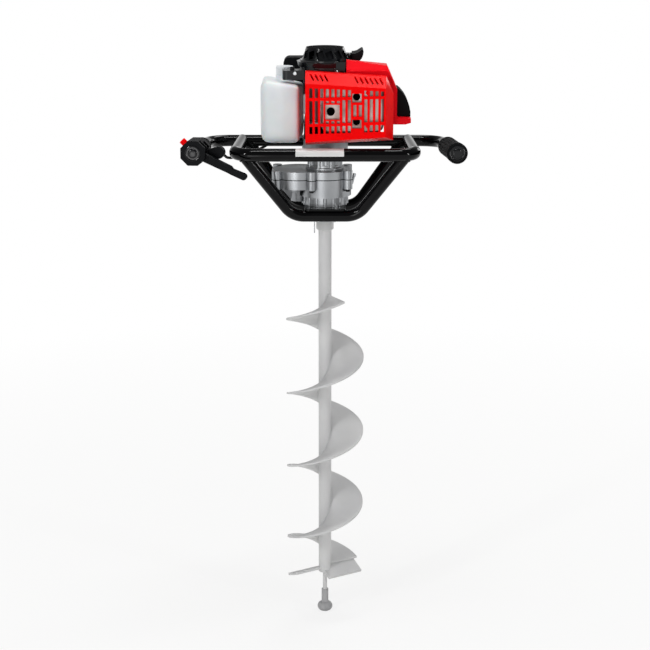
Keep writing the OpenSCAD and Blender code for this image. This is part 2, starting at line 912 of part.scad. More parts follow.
// Finned barrel and head, with the exhaust port in front and the intake port behind
module engine_cylinder() {
    color("#AEB1B4")
        difference() {
            union() {
                on_cylinder(deck_x)
                    linear_extrude(7)
                        round_rect(66, 66, 8);
                on_cylinder(deck_x)
                    cylinder(d = bore_d + 10, h = head_x + 14 - deck_x);
                for (k = [0:fin_count - 1])
                    on_cylinder(head_x + 11 - k * fin_pitch)
                        linear_extrude(2)
                            round_rect(fin_w, fin_w, 9);
                translate([port_x - 11, -stub_y, crank_z - 30])
                    cube([22, 8, 60]);
                translate([port_x - 11, -stub_y, crank_z - 13])
                    cube([22, stub_y - 10, 26]);
                translate([port_x - 20, 10, crank_z - 12])
                    cube([24, fin_w / 2 - 10, 24]);
            }
            on_cylinder(deck_x - 1)
                cylinder(d = bore_d, h = head_x - deck_x + 1);
            on_cylinder(head_x - 1)
                cylinder(r = 7 + touch, h = 20);
            translate([port_x, -10, crank_z])
                rotate([90, 0, 0])
                    cylinder(r = 9, h = stub_y);
            translate([port_x - 8, 10, crank_z])
                rotate([-90, 0, 0])
                    cylinder(r = 8, h = fin_w);
            for (z = [-1, 1])
                translate([port_x, -stub_y + 9, crank_z + z * 22.5])
                    rotate([90, 0, 0])
                        cylinder(r = 2.5, h = 12);
        }
}

module piston() {
    color("#C3C5C7")
        difference() {
            on_cylinder(crown_x - 26)
                cylinder(d = bore_d - 2 * run, h = 26);
            on_cylinder(crown_x - 27)
                cylinder(d = bore_d - 8, h = 21);
            for (k = [0, 1])
                on_cylinder(crown_x - 5 - 4 * k)
                    ring(bore_d, bore_d / 2 - 1.6, 1.6);
            translate([crown_x - 16, 0, crank_z - 40])
                cylinder(r = 5 + touch, h = 80);
        }
}

module connecting_rod() {
    color("#9A9DA0")
        translate([0, 0, crank_z - 4])
            linear_extrude(8)
                difference() {
                    union() {
                        translate([stroke / 2, 0])
                            circle(11);
                        translate([stroke / 2 + rod_len, 0])
                            circle(7.5);
                        translate([stroke / 2, 0])
                            polygon([[0, -7], [rod_len, -5], [rod_len, 5], [0, 7]]);
                    }
                    translate([stroke / 2, 0])
                        circle(7 + touch);
                    translate([stroke / 2 + rod_len, 0])
                        circle(5 + touch);
                }
}

module rod_pins() {
    color("#8E9194") {
        translate([stroke / 2, 0, crank_z - 4.2])
            cylinder(r = 7, h = 8.4);
        translate([crown_x - 16, 0, crank_z - bore_d / 2 + 3])
            cylinder(r = 5, h = bore_d - 6);
    }
}

// Two halves with full-circle webs
module crankshaft() {
    color("#8E9194") {
        translate([0, 0, bell_top + 4])
            cylinder(r = 7.5 - run, h = crank_z - 4.5 - bell_top - 4);
        translate([0, 0, crank_z - 16])
            cylinder(r = 27, h = 11.5);
        translate([0, 0, crank_z + 4.5])
            cylinder(r = 7.5 - run, h = crankcase_top + 14 - crank_z);
        translate([0, 0, crank_z + 4.5])
            cylinder(r = 27, h = 11.5);
        translate([0, 0, crankcase_top + 3])
            cylinder(r = 22, h = 12);
    }
}

module flywheel() {
    color("#A9ACAF")
        difference() {
            union() {
                translate([0, 0, bell_top + 5])
                    cylinder(d = flywheel_d, h = 9);
                translate([0, 0, bell_top + 4])
                    cylinder(r = 13, h = fan_h - 7);
                for (k = [0:15])
                    rotate(k * 22.5)
                        translate([24, -1.2, bell_top + 13])
                            cube([flywheel_d / 2 - 26, 2.4, 9]);
                for (a = [20, 200])
                    rotate(a)
                        translate([drum_d / 2 - 10.5, 0, bell_z + 11])
                            cylinder(r = 4 - run, h = bell_top + 6 - bell_z - 11);
            }
            translate([0, 0, bell_top])
                cylinder(r = 7.5 - run + touch, h = fan_h + 5);
        }
}

module shoe(a) {
    color("#77797C")
        rotate(a)
            translate([0, 0, bell_z + 11])
                linear_extrude(13)
                    difference() {
                        intersection() {
                            circle(drum_d / 2 - drum_wall - 1.2);
                            polygon([[0, 0], polar(60, 10), polar(80, 50), polar(80, 90),
                                polar(80, 130), polar(60, 170)]);
                        }
                        circle(19);
                        translate(polar(drum_d / 2 - 10.5, 20))
                            circle(4);
                    }
}

module clutch_shoe_a() {
    shoe(0);
}

module clutch_shoe_b() {
    shoe(180);
}

module spark_plug() {
    color("#E6E4DE")
        on_cylinder(head_x) {
            cylinder(r = 7, h = 14);
            translate([0, 0, 14])
                cylinder(r = 10.4, h = 9, $fn = 6);
            translate([0, 0, 23])
                cylinder(r = 5, h = 16);
            translate([0, 0, 39])
                cylinder(r = 3, h = 7);
        }
}

// Rubber boot over the plug, shown at the end of the red hood
module plug_cap() {
    color("#17181A")
        difference() {
            upright(-24, 48)
                polygon([[head_x + 40.5, crank_z - 21.5], [head_x + 66, crank_z - 22],
                    [head_x + 66, crank_z - 13], [head_x + 63.5, crank_z - 2],
                    [head_x + 60, crank_z + 8], [head_x + 55, crank_z + 17],
                    [head_x + 48, crank_z + 25.5], [head_x + 42.5, crank_z + 30],
                    [head_x + 40.5, crank_z + 30]]);
            on_cylinder(head_x + 30)
                cylinder(r = 3 + touch, h = 16.5);
        }
}

module ignition_coil() {
    color("#2A2A2C")
        difference() {
            union() {
                translate([30, -3, bell_top + 2.5])
                    cube([36, 32, 14]);
                translate([44, 2, bell_top + 2.5])
                    cube([18, 22, 19]);
            }
            translate([0, 0, bell_top])
                cylinder(r = flywheel_d / 2 + slack, h = fan_h);
        }
}

module intake_insulator() {
    color("#4A3626")
        difference() {
            translate([port_x - 22, fin_w / 2, crank_z - 16])
                cube([28, 10, 32]);
            translate([port_x - 8, fin_w / 2 - 1, crank_z])
                rotate([-90, 0, 0])
                    cylinder(r = 8, h = 12);
        }
}

module carburettor() {
    color("#9FA2A5")
        difference() {
            union() {
                translate([port_x - 27, carb_y, crank_z - 18])
                    cube([38, 36, 36]);
                translate([port_x - 8, carb_y + 18, crank_z - 24])
                    cylinder(r = 15, h = 48);
                translate([port_x + 11, carb_y + 24, crank_z + 2])
                    rotate([0, 90, 0])
                        cylinder(r = 3, h = 9);
            }
            translate([port_x - 8, carb_y - 1, crank_z])
                rotate([-90, 0, 0])
                    cylinder(r = 8, h = 40);
        }
}

module choke_lever() {
    color("#D8D8D6")
        translate([port_x + 12, carb_y + 24, crank_z + 2])
            rotate([90, 0, 90])
                linear_extrude(3)
                    difference() {
                        union() {
                            circle(6);
                            translate([-3, 0])
                                square([6, 22]);
                            translate([0, 22])
                                circle(5);
                        }
                        circle(3 + run);
                    }
}

filter_c = [-10, crank_z + 32];
filter_size = [138, 86];

module air_filter_base() {
    color("#232426")
        difference() {
            upright(filter_y, 6)
                translate(filter_c)
                    round_rect(filter_size[0], filter_size[1], 12);
            translate([port_x - 8, filter_y - 1, crank_z])
                rotate([-90, 0, 0])
                    cylinder(r = 8, h = 8);
        }
}

module air_filter_cover() {
    color("#1B1C1E")
        difference() {
            upright(filter_y + 6, 32)
                translate(filter_c)
                    round_rect(filter_size[0], filter_size[1], 12);
            upright(filter_y + 5, 33 - skin)
                translate(filter_c)
                    round_rect(filter_size[0] - 2 * skin, filter_size[1] - 2 * skin, 12 - skin);
        }
}

module filter_element() {
    color("#6E6B4A")
        upright(filter_y + 6, 20)
            translate(filter_c)
                round_rect(filter_size[0] - 2 * skin - 1, filter_size[1] - 2 * skin - 1, 9);
}

// Welded steel box; the two long screws that hold it pass through it
module muffler() {
    color("#9A9896")
        difference() {
            union() {
                upright(-muffler_y, 42)
                    translate([port_x - 7, crank_z])
                        round_rect(108, 80, 12);
                upright(-muffler_y + 18, 3)
                    translate([port_x - 7, crank_z])
                        round_rect(114, 90, 14);
            }
            for (z = [-1, 1])
                translate([port_x, -muffler_y - 1, crank_z + z * 22.5])
                    rotate([-90, 0, 0])
                        cylinder(r = 6.5, h = 40);
            translate([guard_x0 + 46, -muffler_y - 1, crank_z - 4])
                rotate([-90, 0, 0])
                    cylinder(r = 7.5, h = 26);
        }
}

// Outline of the muffler guard, drawn in by d; its top and bottom edges meet to the right
function guard_face(d, low, high, right) = concat([
    [guard_x0 + d, guard_z - guard_h / 2 - guard_drop + low + d],
    [guard_x0 + guard_w + right - d, guard_z - guard_taper * guard_h / 2 - guard_drop + low + d]],
    right > 0
        ? [[guard_x0 + guard_w + right - d, guard_z + guard_taper * guard_h / 2 - high - 30 - d],
            [guard_x0 + guard_w + 2 - d, guard_z + guard_taper * guard_h / 2 - high - d]]
        : [[guard_x0 + guard_w - d, guard_z + guard_taper * guard_h / 2 - high - d]],
    [[guard_x0 + d, guard_z + guard_h / 2 - high - d]]);

module guard_solid(d) {
    hull() {
        upright(-guard_y + d, 0.2)
            polygon(guard_face(d, 8, 19, 0));
        upright(-guard_y + 22, 0.2)
            polygon(guard_face(d, 0, 0, 15));
    }
    upright(-guard_y + 22, 20 + d)
        polygon(guard_face(d, 0, 0, 15));
}

// Slot through the guard's face, between two heights over its middle
module guard_slot(x, low, high) {
    translate([x - slot_w / 2, -guard_y - 1, guard_z + low])
        cube([slot_w, skin + 2, high - low]);
}

module muffler_guard() {
    color("#D3121A")
        difference() {
            union() {
                difference() {
                    guard_solid(0);
                    guard_solid(skin);
                }
                for (z = [-1, 1])
                    translate([guard_x0 + guard_w - 32, -guard_y + 1, crank_z + z * 30])
                        rotate([-90, 0, 0])
                            cylinder(r = 4, h = guard_y - muffler_y - 1);
            }
            for (c = [0:guard_columns - 1]) {
                t = c / (guard_columns - 1);
                x = mix(guard_x0 + 10, guard_x0 + guard_w - 6, t);
                in_port = abs(x - guard_x0 - 49) < 14;
                in_screw = abs(x - port_x - 1.5) < 8;
                if (!in_screw)
                    guard_slot(x, mix(17.5, 21, t), mix(35, 29.5, t));
                if (in_port) {
                    guard_slot(x, 8, 12);
                    guard_slot(x, -29, -24);
                }
                if (in_screw)
                    guard_slot(x, -16, 5);
                if (!in_port && !in_screw)
                    guard_slot(x, mix(-29.5, -25.5, t), mix(12, 16, t));
                if (!in_screw)
                    guard_slot(x, mix(-47.8, -43.5, t), mix(-34.5, -31, t));
            }
            translate([guard_x0 + 36, -guard_y - 1, guard_z - 21.5])
                cube([26, skin + 2, 27]);
            for (z = [9.5, -37.5])
                translate([port_x - 8, -guard_y - 1, guard_z + z])
                    cube([17, skin + 2, 16]);
            for (x = [14, 22.5, 31, 39.5, 94, 103, 112, 121, 130, 139])
                translate([guard_x0 + x, -guard_y + 6, guard_z])
                    rotate(30)
                        cube([3.4, 13, guard_h]);
        }
}

// Outline of the hood from the side, drawn in by d
module hood_side(d) {
    polygon([[39 + d, crankcase_z + 3], [39 + d, crank_z + 83 - d],
        [head_x + 21.5 - d, crank_z + 73 - d], [head_x + 25 - d, crank_z + 65 - d],
        [head_x + 40 - d, crank_z + 31 - d], [head_x + 40 - d, crank_z - 22 - d],
        [head_x + 66 - d, crank_z - 23 - d], [head_x + 66 - d, crank_z - 31 + d],
        [head_x + 36 - d, crank_z - 40 + d], [head_x + 22 + d, crank_z - 40 + d],
        [head_x + 22 + d, crankcase_z + 3]]);
}

// Outline of the hood from its end, drawn in by d; its ridge is near the front
module hood_end(d) {
    polygon([[1 - stub_y + d, crankcase_z], [1 - stub_y + d, crank_z + 66 - d],
        [-32, crank_z + 85 - d], [fin_w / 2 + 8 - d, crank_z + 56 - d], [fin_w / 2 + 8 - d, crankcase_z]]);
}

module hood_solid(d) {
    intersection() {
        upright(-60, 120)
            hood_side(d);
        rotate([90, 0, 90])
            linear_extrude(300)
                hood_end(d);
    }
}

// Red hood over the cylinder
module cylinder_cover() {
    color("#C8101A")
        difference() {
            union() {
                difference() {
                    hood_solid(0);
                    hood_solid(skin);
                    translate([port_x - 16, -60, crankcase_z - 1])
                        cube([36, 40, crank_z + 34 - crankcase_z]);
                    translate([port_x - 28, 20, crankcase_z - 1])
                        cube([44, 60, crank_z + 26 - crankcase_z]);
                    translate([30, -60, crankcase_z - 1])
                        cube([12, 120, 66]);
                }
                intersection() {
                    hood_solid(skin / 2);
                    translate([head_x - 10, -12, crank_z + fin_w / 2 + 0.3])
                        cylinder(r = 5, h = 60);
                }
            }
            translate([head_x - 10, -12, crank_z + 20])
                cylinder(r = 1.8, h = 40);
            on_cylinder(head_x + 30)
                cylinder(r = 7, h = 14);
            translate([0, 0, ring_z - 1.5])
                cylinder(d = cone_d + 7, h = 40);
        }
}

// Tank body drawn in by d, rounded along all edges; its top falls away from its outer front
module tank_solid(d) {
    difference() {
        intersection() {
            upright(tank_y + d, tank_depth - 2 * d)
                translate([tank_x - tank_w / 2, tank_z + tank_h / 2])
                    round_rect(tank_w - 2 * d, tank_h - 2 * d, tank_r - d);
            translate([tank_x - tank_w / 2, tank_y + tank_depth / 2, tank_z])
                linear_extrude(tank_h)
                    round_rect(tank_w - 2 * d, tank_depth - 2 * d, tank_r - d);
            translate([tank_x - tank_w, tank_y + tank_depth / 2, tank_z + tank_h / 2])
                rotate([90, 0, 90])
                    linear_extrude(tank_w)
                        round_rect(tank_depth - 2 * d, tank_h - 2 * d, tank_r - d);
            translate([tank_x - tank_w, tank_y, tank_z + tank_h - d])
                rotate([-2.6, 9.6, 0])
                    translate([-200, -200, -400])
                        cube(400);
        }
        translate([tank_x - tank_step - d, tank_y - 1, tank_z - 1])
            cube([tank_step + d + 1, tank_depth * 0.3 + d + 1, tank_h + 2]);
    }
}

module fuel_tank() {
    color("#ECECE6")
        difference() {
            union() {
                tank_solid(0);
                translate([filler[0], filler[1], filler_z - 24])
                    cylinder(d = fuel_cap_d + 2, h = 24);
                translate([filler[0], filler[1], filler_z - 1])
                    cylinder(d = fuel_cap_d - 6, h = 8);
            }
            tank_solid(skin);
            translate([filler[0], filler[1], filler_z - 40])
                cylinder(d = fuel_cap_d - 11, h = 60);
        }
}

module fuel_cap() {
    color("#C9CBCA")
        translate([filler[0], filler[1], filler_z + slack])
            difference() {
                union() {
                    cylinder(d = fuel_cap_d - 1.2, h = 15);
                    for (k = [0:19])
                        rotate(k * 18)
                            translate([fuel_cap_d / 2 - 1.2, 0, 0])
                                cylinder(r = 1.2, h = 14);
                }
                translate([0, 0, -1])
                    cylinder(d = fuel_cap_d - 6 + 2 * slack, h = 9);
            }
}

// Starter

starter_screw_spots = [[-60, -24, ring_z, 8], [30, -37, ring_z + 16, 24],
    [30, 37, ring_z, 20]];

module starter_housing() {
    color("#151617")
        difference() {
            union() {
                translate([-0.5, 0, crankcase_top])
                    linear_extrude(starter_base_h)
                        round_rect(78, 2 * stub_y - 2, 12);
                translate([-54, -24, ring_z - 17])
                    linear_extrude(17)
                        round_rect(48, 32, 8);
                intersection() {
                    translate([0, 0, ring_z + 5])
                        cylinder(r1 = cone_d / 2 + 7, r2 = cone_d / 2 + 9, h = 9);
                    translate([-cone_d, -cone_d, ring_z])
                        cube([cone_d + 20, 2 * cone_d, 20]);
                }
                translate([26, -33, crankcase_top])
                    linear_extrude(starter_base_h + 16)
                        round_rect(25, 24, 5);
                translate([0, 0, ring_z - 1])
                    cylinder(d = cone_d + 6, h = starter_ring_h + 1);
                difference() {
                    translate([0, 0, cone_z])
                        cylinder(d1 = cone_d, d2 = cone_top_d, h = starter_cone_h);
                    translate([0, 0, cone_z - 0.01])
                        cylinder(d1 = cone_d - 7, d2 = cone_top_d - 7,
                            h = starter_cone_h - 3);
                    for (k = [0:cone_ribs - 1])
                        rotate(k * 360 / cone_ribs)
                            translate([cone_top_d / 2 - 8, 0, cone_z + starter_cone_h / 2 - 1])
                                rotate([20, 0, 0])
                                    translate([0, -cone_d * 1.05 / cone_ribs, -starter_cone_h * 0.32])
                                        cube([20, cone_d * 2.1 / cone_ribs, starter_cone_h * 0.64]);
                }
                translate([0, 0, cone_z + 1])
                    cylinder(r = 6, h = starter_cone_h - 1);
                intersection() {
                    translate([25, rope_y, rope_z])
                        rotate([0, 90, 0])
                            cylinder(r = 6, h = eyelet_x - 25);
                    difference() {
                        translate([0, 0, ring_z])
                            cylinder(r = 100, h = 60);
                        translate([0, 0, ring_z - 1])
                            cylinder(d = cone_d - 6, h = 62);
                    }
                }
            }
            translate([0, 0, crankcase_top - 1])
                cylinder(r = 36, h = starter_base_h);
            translate([0, 0, ring_z - 3])
                cylinder(d = cone_d - 6, h = starter_ring_h + 3);
            translate([20, rope_y, rope_z])
                rotate([0, 90, 0])
                    cylinder(r = 2.4, h = 60);
            for (p = starter_screw_spots) {
                translate([p[0], p[1], p[2] - 60])
                    cylinder(r = 2.7, h = 61);
                translate([p[0], p[1], p[2]])
                    cylinder(r = 4.6, h = 40);
            }
        }
}

// Flat spiral that winds the rope back
module rewind_spring() {
    color("#6C7074")
        translate([0, 0, rope_z - 10.5 - slack])
            linear_extrude(6)
                polygon(concat(
                    [for (i = [0:120]) polar(cone_d / 2 - 22 + i * 0.15, i * 18)],
                    [for (i = [120:-1:0]) polar(cone_d / 2 - 21.2 + i * 0.15, i * 18)]));
}

module starter_pulley() {
    color("#8A8D8F")
        translate([0, 0, rope_z - 4.5])
            difference() {
                cylinder(r = pulley_r, h = 9);
                translate([0, 0, 2])
                    ring(pulley_r + 1, rope_y - 2, 5);
                translate([0, 0, -1])
                    cylinder(r = 6 + run, h = 12);
            }
}

module starter_grip() {
    color("#111111")
        difference() {
            union() {
                upright(rope_y - 24, 52)
                    polygon([[eyelet_x + 4, rope_z + 6.2], [eyelet_x + 9, rope_z + 6.4],
                        [eyelet_x + 14, rope_z + 8], [eyelet_x + 18.5, rope_z + 10.8],
                        [eyelet_x + 22, rope_z + 13.2], [eyelet_x + 24.5, rope_z + 12.8],
                        [eyelet_x + 25.4, rope_z + 10], [eyelet_x + 24.6, rope_z + 4],
                        [eyelet_x + 22.4, rope_z - 2], [eyelet_x + 19, rope_z - 6],
                        [eyelet_x + 14, rope_z - 8], [eyelet_x + 4, rope_z - 7]]);
                translate([eyelet_x + slack, rope_y, rope_z])
                    rotate([0, 90, 0])
                        cylinder(r = 6, h = 12);
            }
            translate([eyelet_x, rope_y, rope_z])
                rotate([0, 90, 0])
                    cylinder(r = 2, h = 11);
        }
}

// Bit

module bit_tube() {
    color("#C6C7C8")
        difference() {
            translate([0, 0, tube_z])
                cylinder(d = tube_d, h = tube_len);
            translate([0, 0, tube_z - 1])
                cylinder(d = out_shaft_d + 2 * touch, h = tube_len + 2);
            rod([-30, 0, drive_pin_z], [30, 0, drive_pin_z], drive_pin_d / 2 + touch);
        }
}

module bit_collar() {
    color("#BFC0C2")
        difference() {
            union() {
                translate([0, 0, collar_z])
                    cylinder(d1 = collar_d - 4, d2 = collar_d, h = 2);
                translate([0, 0, collar_z + 2])
                    cylinder(d = collar_d, h = collar_len - 2);
            }
            translate([0, 0, collar_z - 1])
                cylinder(d = tube_d + 2 * touch, h = collar_len + 2);
            rod([-30, 0, drive_pin_z], [30, 0, drive_pin_z], drive_pin_d / 2 + touch);
        }
}

function flight_ring(a) = let(
    z = flight_low + flight_pitch * a / 360,
    ri = tube_d / 2 / cos(180 / flight_steps) + touch,
    ro = bit_d / 2)
    [concat(polar(ri, a), z), concat(polar(ro, a), z),
        concat(polar(ro, a), z + flight_t), concat(polar(ri, a), z + flight_t)];

// One turn of the flight, or what is left of one
module flight_disc(a0, a1) {
    n = ceil((a1 - a0) * flight_steps / 360);
    polyhedron(
        points = [for (i = [0:n]) for (q = flight_ring(mix(a0, a1, i / n))) q],
        faces = concat([[3, 2, 1, 0], [4 * n, 4 * n + 1, 4 * n + 2, 4 * n + 3]],
            [for (i = [0:n - 1], j = [0:3], h = [0, 1])
                let(a = 4 * i + j, b = 4 * i + (j + 1) % 4)
                h == 0 ? [a, b, b + 4] : [a, b + 4, a + 4]]));
}

module flight() {
    color("#BBBCBD")
        for (a = [flight_start:360:flight_end - 1])
            flight_disc(a, min(a + 360 - disc_gap, flight_end));
}

blade_back = 4;
blade_front = blade_chord - blade_back;
blade_tilt = 22;
blade_z = flight_low + flight_pitch * flight_start / 360 - blade_t * 0.54 - 0.4;

// Two blades, half a turn apart, that lead the flight into the ground
module cutting_blades() {
    color("#A9AAAC")
        for (a = [0, 180])
            rotate(a)
                difference() {
                    translate([0, 0, blade_z])
                        rotate([blade_tilt, 0, flight_start])
                            translate([-8, -blade_front, -blade_t / 2])
                                cube([8 + sqrt(bit_d * bit_d / 4 - blade_front * blade_front),
                                    blade_chord, blade_t]);
                    translate([0, 0, tube_z - 60])
                        cylinder(d = tube_d + 2 * touch, h = 160);
                }
}

module pilot_point() {
    color("#B4B5B7") {
        translate([0, 0, tip_z])
            cylinder(r1 = 0.8, r2 = pilot_d / 2, h = 14);
        translate([0, 0, tip_z + 14])
            cylinder(d = pilot_d, h = pilot_len - 14);
        translate([0, 0, tube_z])
            cylinder(d = out_shaft_d, h = 22);
    }
}

module drive_pin() {
    color("#A8ABAE")
        difference() {
            union() {
                rod([-collar_d / 2 - 7, 0, drive_pin_z], [collar_d / 2, 0, drive_pin_z],
                    drive_pin_d / 2);
                rod([collar_d / 2, 0, drive_pin_z], [collar_d / 2 + 4, 0, drive_pin_z],
                    drive_pin_d / 2 + 2.5);
            }
            translate([-collar_d / 2 - 3.5, 0, drive_pin_z - 20])
                cylinder(r = 1 + touch, h = 40);
        }
}

// Hairpin clip that hangs from the drive pin
module pin_clip() {
    x = -collar_d / 2 - 3.5;
    color("#C9CBCC")
        bent_bar([[x, 0, drive_pin_z + 8], [x, 0, drive_pin_z - 27],
            [x, 5.5, drive_pin_z - 27], [x, 5.5, drive_pin_z - 7]], 1, 2.5);
}

module tip_cap() {
    r = cap_floor * 0.75;
    color("#8C8D8E")
        difference() {
            union() {
                rotate_extrude() {
                    square([cap_d / 2 - r, 2 * r]);
                    translate([cap_d / 2 - r, r])
                        intersection() {
                            circle(r);
                            translate([0, -r])
                                square(2 * r);
                        }
                }
                cylinder(d = cap_neck_d, h = cap_h);
            }
            translate([0, 0, cap_floor - 0.5])
                cylinder(d = pilot_d + 4 * run, h = cap_h);
        }
}

front_top_bar();
front_v_bar();
rear_handlebar();
rear_v_bar();
gearbox_plate();
right_grip();
left_grip();
throttle_housing();
throttle_cable();
gear_case_lower();
gear_case_upper();
socket_screws();
ball_bearings();
breather();
clutch_housing();
fan_housing();
crankcase();
engine_cylinder();
piston();
connecting_rod();
rod_pins();
spark_plug();
plug_cap();
ignition_coil();
intake_insulator();
carburettor();
air_filter_base();
air_filter_cover();
filter_element();
muffler();
muffler_guard();
cylinder_cover();
fuel_tank();
starter_housing();
rewind_spring();
output_gear();
output_shaft();
bit_tube();
bit_collar();
flight();
cutting_blades();
pilot_point();
drive_pin();
pin_clip();
tip_cap();
counter_gear();
counter_shaft();
clutch_drum();
pinion_shaft();
crankshaft();
flywheel();
clutch_shoe_a();
clutch_shoe_b();
throttle_lever();
lock_paddle();
stop_button();
choke_lever();
starter_grip();
starter_pulley();
fuel_cap();
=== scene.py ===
# %% [markdown]
# # A petrol earth auger
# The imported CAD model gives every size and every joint. This lesson dresses it: it sets the
# camera and the light, mixes one finish for each real material, and then makes the pieces whose
# shape the solids only rough out. Everything is in metres, in the CAD model's own frame.

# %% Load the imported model
import json
import math

import bmesh
import bpy
from mathutils import Matrix, Vector

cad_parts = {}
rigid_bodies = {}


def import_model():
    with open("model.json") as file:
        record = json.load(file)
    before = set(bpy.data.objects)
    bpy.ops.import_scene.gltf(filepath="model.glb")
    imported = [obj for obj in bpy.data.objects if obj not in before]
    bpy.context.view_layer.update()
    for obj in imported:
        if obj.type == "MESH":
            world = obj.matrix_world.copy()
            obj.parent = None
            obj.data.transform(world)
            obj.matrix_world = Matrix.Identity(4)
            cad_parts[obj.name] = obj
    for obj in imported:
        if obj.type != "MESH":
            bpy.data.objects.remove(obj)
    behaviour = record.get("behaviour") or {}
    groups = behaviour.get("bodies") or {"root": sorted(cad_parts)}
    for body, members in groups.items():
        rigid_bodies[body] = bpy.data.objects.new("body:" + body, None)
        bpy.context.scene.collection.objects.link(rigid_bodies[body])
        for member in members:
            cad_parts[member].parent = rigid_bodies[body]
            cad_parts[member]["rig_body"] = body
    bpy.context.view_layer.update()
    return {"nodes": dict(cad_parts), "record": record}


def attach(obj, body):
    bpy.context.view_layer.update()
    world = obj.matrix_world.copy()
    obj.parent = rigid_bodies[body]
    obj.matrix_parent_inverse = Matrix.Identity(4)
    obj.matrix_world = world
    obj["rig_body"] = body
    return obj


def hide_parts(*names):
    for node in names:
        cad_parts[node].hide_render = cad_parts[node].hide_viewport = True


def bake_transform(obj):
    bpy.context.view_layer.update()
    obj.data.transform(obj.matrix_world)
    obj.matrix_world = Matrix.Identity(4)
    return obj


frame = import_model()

scene = bpy.context.scene
scene.view_settings.view_transform = "Standard"
MM = 0.001

# %% [markdown]
# ## Three helpers
# Designers name a colour by its sRGB hex value, and Blender's sockets take linear light, so one
# function converts. A second one adds a node of any kind, sets its options and fills its
# sockets, which keeps a node tree as readable as a list. A third puts an object in the scene.

# %% Colour, node and object helpers


def colour(code):
    """Linear RGBA of an sRGB hex colour."""
    parts = [int(code[i:i + 2], 16) / 255 for i in (1, 3, 5)]
    return [p / 12.92 if p <= 0.04045 else ((p + 0.055) / 1.055) ** 2.4 for p in parts] + [1.0]


def add_node(tree, kind, inputs=None, **settings):
    """Adds a node; an input is a value or the socket that feeds it."""
    node = tree.nodes.new(kind)
    for name, value in settings.items():
        setattr(node, name, value)
    for key, value in (inputs or {}).items():
        if isinstance(value, bpy.types.NodeSocket):
            tree.links.new(value, node.inputs[key])
        else:
            node.inputs[key].default_value = value
    return node


def put(name, data):
    """New object with the given data, linked to the scene."""
    made = bpy.data.objects.new(name, data)
    scene.collection.objects.link(made)
    return made


print("mid grey in linear light:", round(colour("#808080")[0], 3))

# %% [markdown]
# ## Camera
# The photograph looks at the machine from a little above the hand grips, with a long lens, so
# that the bit stays nearly parallel down the picture. The height of the grips against the front
# bar gives the tilt, and the width of the flight gives the distance.

# %% Camera
CAMERA_PLACE, CAMERA_TILT = (0, -3.0, 1.431), 15.5
camera_data = bpy.data.cameras.new("photo_camera")
camera_data.sensor_width = 36
camera_data.lens = 89.28
camera = put("photo_camera", camera_data)
camera.location = CAMERA_PLACE
camera.rotation_euler = (math.radians(90 - CAMERA_TILT), 0, 0)
scene.camera = camera
print(f"camera: {camera_data.lens:.0f} mm lens, tilted {CAMERA_TILT} degrees down")

# %% [markdown]
# ## Paper floor
# The machine stands on a white sweep of paper. A plain diffuse sheet comes out grey, and a plain
# white one takes no shadow. So the sheet is diffuse and, for rays that the camera or a shiny
# surface sends, mixed with white, more of it further out: it keeps a soft shadow near the bit.

# %% Paper floor
FLOOR_HALF, FLOOR_Z = 40.0, -0.0003
floor_mesh = bpy.data.meshes.new("studio_floor")
floor_mesh.from_pydata(
    [(x * FLOOR_HALF, y * FLOOR_HALF, FLOOR_Z) for x, y in ((-1, -1), (1, -1), (1, 1), (-1, 1))],
    [], [(0, 1, 2, 3)])
floor = put("studio_floor", floor_mesh)

paper = bpy.data.materials.new("white_paper_sweep")
paper.use_nodes = True
tree = paper.node_tree
tree.nodes.remove(tree.nodes["Principled BSDF"])
rays = add_node(tree, "ShaderNodeLightPath").outputs
seen = rays["Is Camera Ray"]
for kind in ("Is Glossy Ray", "Is Transmission Ray"):
    seen = add_node(tree, "ShaderNodeMath", {0: seen, 1: rays[kind]},
                    operation="MAXIMUM").outputs[0]
sheet = add_node(tree, "ShaderNodeBsdfDiffuse", {"Color": colour("#EDEDEB")}).outputs[0]
white = add_node(tree, "ShaderNodeEmission",
                 {"Color": colour("#FFFFFF"), "Strength": 1.0}).outputs[0]
place = add_node(tree, "ShaderNodeTexCoord").outputs["Object"]
away = add_node(tree, "ShaderNodeVectorMath", {0: place}, operation="LENGTH").outputs["Value"]
share = add_node(tree, "ShaderNodeMapRange", {"Value": away, "From Min": 0.3, "From Max": 2.2,
                                              "To Min": 0.82, "To Max": 1.0}).outputs[0]
bright = add_node(tree, "ShaderNodeMixShader", {0: share, 1: sheet, 2: white}).outputs[0]
shown = add_node(tree, "ShaderNodeMixShader", {0: seen, 1: sheet, 2: bright}).outputs[0]
tree.links.new(shown, tree.nodes["Material Output"].inputs["Surface"])
floor_mesh.materials.append(paper)
print(f"floor: {2 * FLOOR_HALF:.0f} m square")

# %% [markdown]
# ## Room
# Glossy black shows little but its surroundings. The room is therefore white near the horizon,
# which runs a bright edge along the tubes, and dim above, which keeps the black parts black. The
# height of a direction sets the strength, so one Map Range node is enough.

# %% Room
world = bpy.data.worlds.new("studio_room")
world.use_nodes = True
scene.world = world
tree = world.node_tree
way = add_node(tree, "ShaderNodeTexCoord").outputs["Generated"]
climb = add_node(tree, "ShaderNodeSeparateXYZ", {0: way}).outputs["Z"]
level = add_node(tree, "ShaderNodeMapRange", {"Value": climb, "From Min": 0.10, "From Max": 0.24,
                                              "To Min": 1.0, "To Max": 0.2}).outputs[0]
tree.nodes["Background"].inputs["Color"].default_value = colour("#FFFFFF")
tree.links.new(level, tree.nodes["Background"].inputs["Strength"])
print("room:", world.name)

# %% [markdown]
# ## Lamps
# A photographer lights black tube with narrow strips, because the reflection of a strip is a thin
# bright line that shows how round the tube is. Strips stand left, right and above. Square boxes
# behind light the back and the edges, and a low one in front lifts the bit.

